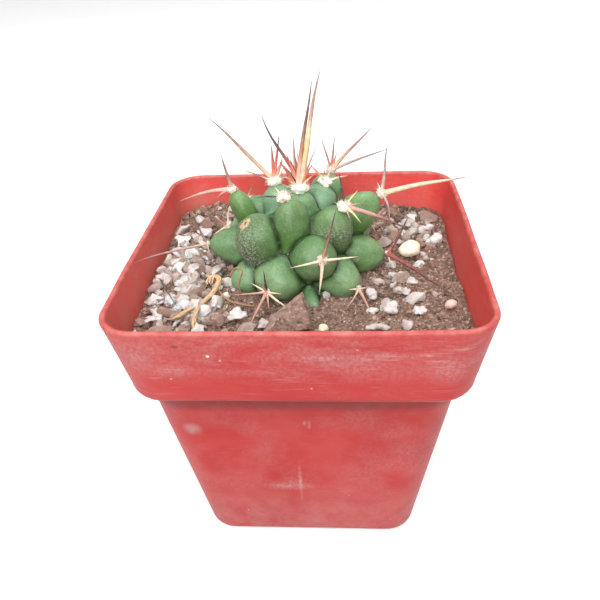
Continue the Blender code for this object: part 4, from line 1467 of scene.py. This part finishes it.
STAGE_REACH = 4000
PAPER_GLOW = 0.18
SKY = ((0.0, (120, 118, 116)), (0.12, (255, 255, 255)))  # from below to above
SKY_STRENGTH = 0.6
LIGHTS_AIM = Vector((0, 0, 0.06))
LIGHTS = (  # name, place in metres, size, watts
    ("window", (-0.30, -0.45, 0.85), 0.6, 4.8),
    ("overhead", (0.20, 0.15, 0.95), 0.8, 4.2),
    ("front", (0.05, -0.8, 0.52), 0.7, 5.6),
)


CAMERA_LENS = 38.77
CAMERA_PLACE = Vector((0.01007, -0.13754, 0.14429))
CAMERA_TURNS = ((4.911, "Z"), (57.152, "X"), (-3.104, "Z"))


def stage_mesh(name, bm, finish):
    """A part of the stage, which casts no colour on the object."""
    mesh = make_mesh(name, bm)
    mesh.transform(Matrix.Scale(MM, 4))
    mesh.materials.append(finish)
    thing = put(name, mesh)
    thing.visible_diffuse = False
    return thing


def set_the_stage():
    """White paper, a white surround, a pale sky and three soft lamps."""
    bm = bmesh.new()
    bmesh.ops.create_grid(bm, x_segments=1, y_segments=1, size=STAGE_REACH)
    paper = Finish("white paper", Metallic=0.0, Roughness=0.9, Specular_IOR_Level=0.1)
    paper.shader.inputs["Emission Strength"].default_value = PAPER_GLOW
    colour = paper.ramp(paper.noise(2.0, 2, 0.5), (0, (243, 243, 243)), (1, (247, 247, 247)))
    stage_mesh("floor", bm, paper.use(Base_Color=colour))
    bm = bmesh.new()
    bmesh.ops.create_uvsphere(bm, u_segments=48, v_segments=24, radius=STAGE_REACH)
    bmesh.ops.reverse_faces(bm, faces=bm.faces)
    glow = Finish("white backdrop", Metallic=0.0, Roughness=1.0, Emission_Strength=1.0)
    glow = glow.use(Base_Color=(0, 0, 0), Emission_Color=(255, 255, 255))
    backdrop = stage_mesh("backdrop", bm, glow)
    backdrop.visible_glossy = False
    backdrop.visible_transmission = False
    backdrop.visible_shadow = False
    world = bpy.data.worlds.new("daylight")
    world.use_nodes = True
    nodes, link = world.node_tree.nodes, world.node_tree.links.new
    sky = nodes["Background"]
    split = nodes.new("ShaderNodeSeparateXYZ")
    fade = nodes.new("ShaderNodeValToRGB")
    for element, (place, colour) in zip(fade.color_ramp.elements, SKY):
        element.position = place
        element.color = shade(colour)
    link(nodes.new("ShaderNodeTexCoord").outputs["Generated"], split.inputs[0])
    link(split.outputs["Z"], fade.inputs["Fac"])
    link(fade.outputs["Color"], sky.inputs["Color"])
    sky.inputs["Strength"].default_value = SKY_STRENGTH
    bpy.context.scene.world = world
    for name, place, size, power in LIGHTS:
        light = bpy.data.lights.new(name, "AREA")
        light.shape = "DISK"
        light.size = size
        light.energy = power
        lamp = put(name, light)
        lamp.location = place
        aim = LIGHTS_AIM - Vector(place)
        lamp.rotation_euler = aim.to_track_quat("-Z", "Y").to_euler()


def set_the_camera():
    camera = bpy.data.cameras.new("camera")
    camera.lens = CAMERA_LENS
    camera.sensor_width = 36
    camera.clip_start = 0.005
    camera.clip_end = 20
    holder = put("camera", camera)
    look = Matrix.Translation(CAMERA_PLACE)
    for angle, axis in CAMERA_TURNS:
        look = look @ Matrix.Rotation(math.radians(angle), 4, axis)
    holder.matrix_world = look
    bpy.context.scene.camera = holder
    bpy.context.scene.view_settings.view_transform = "Standard"


def main():
    make_pot(red_plastic())
    make_soil(sandy_soil())
    looks = {name: tinted(name) for name in ("sand_grains", "gravel", "dry_litter")}
    soft = {"Subsurface_Weight": 0.3, "Subsurface_Scale": 0.003}
    looks["perlite_crumbs"] = tinted("perlite_crumbs", **soft)
    make_grains(looks)
    make_stones(tinted("glassy_perlite"), tinted("cream_stone"), sandy_soil("dry clod", 1.9))
    make_stem(green_skin())
    horn = spine_horn()
    make_spines(horn)
    make_wool(woolly())
    make_strands(tinted("dry_root_fibre"), horn)
    set_the_stage()
    set_the_camera()


main()
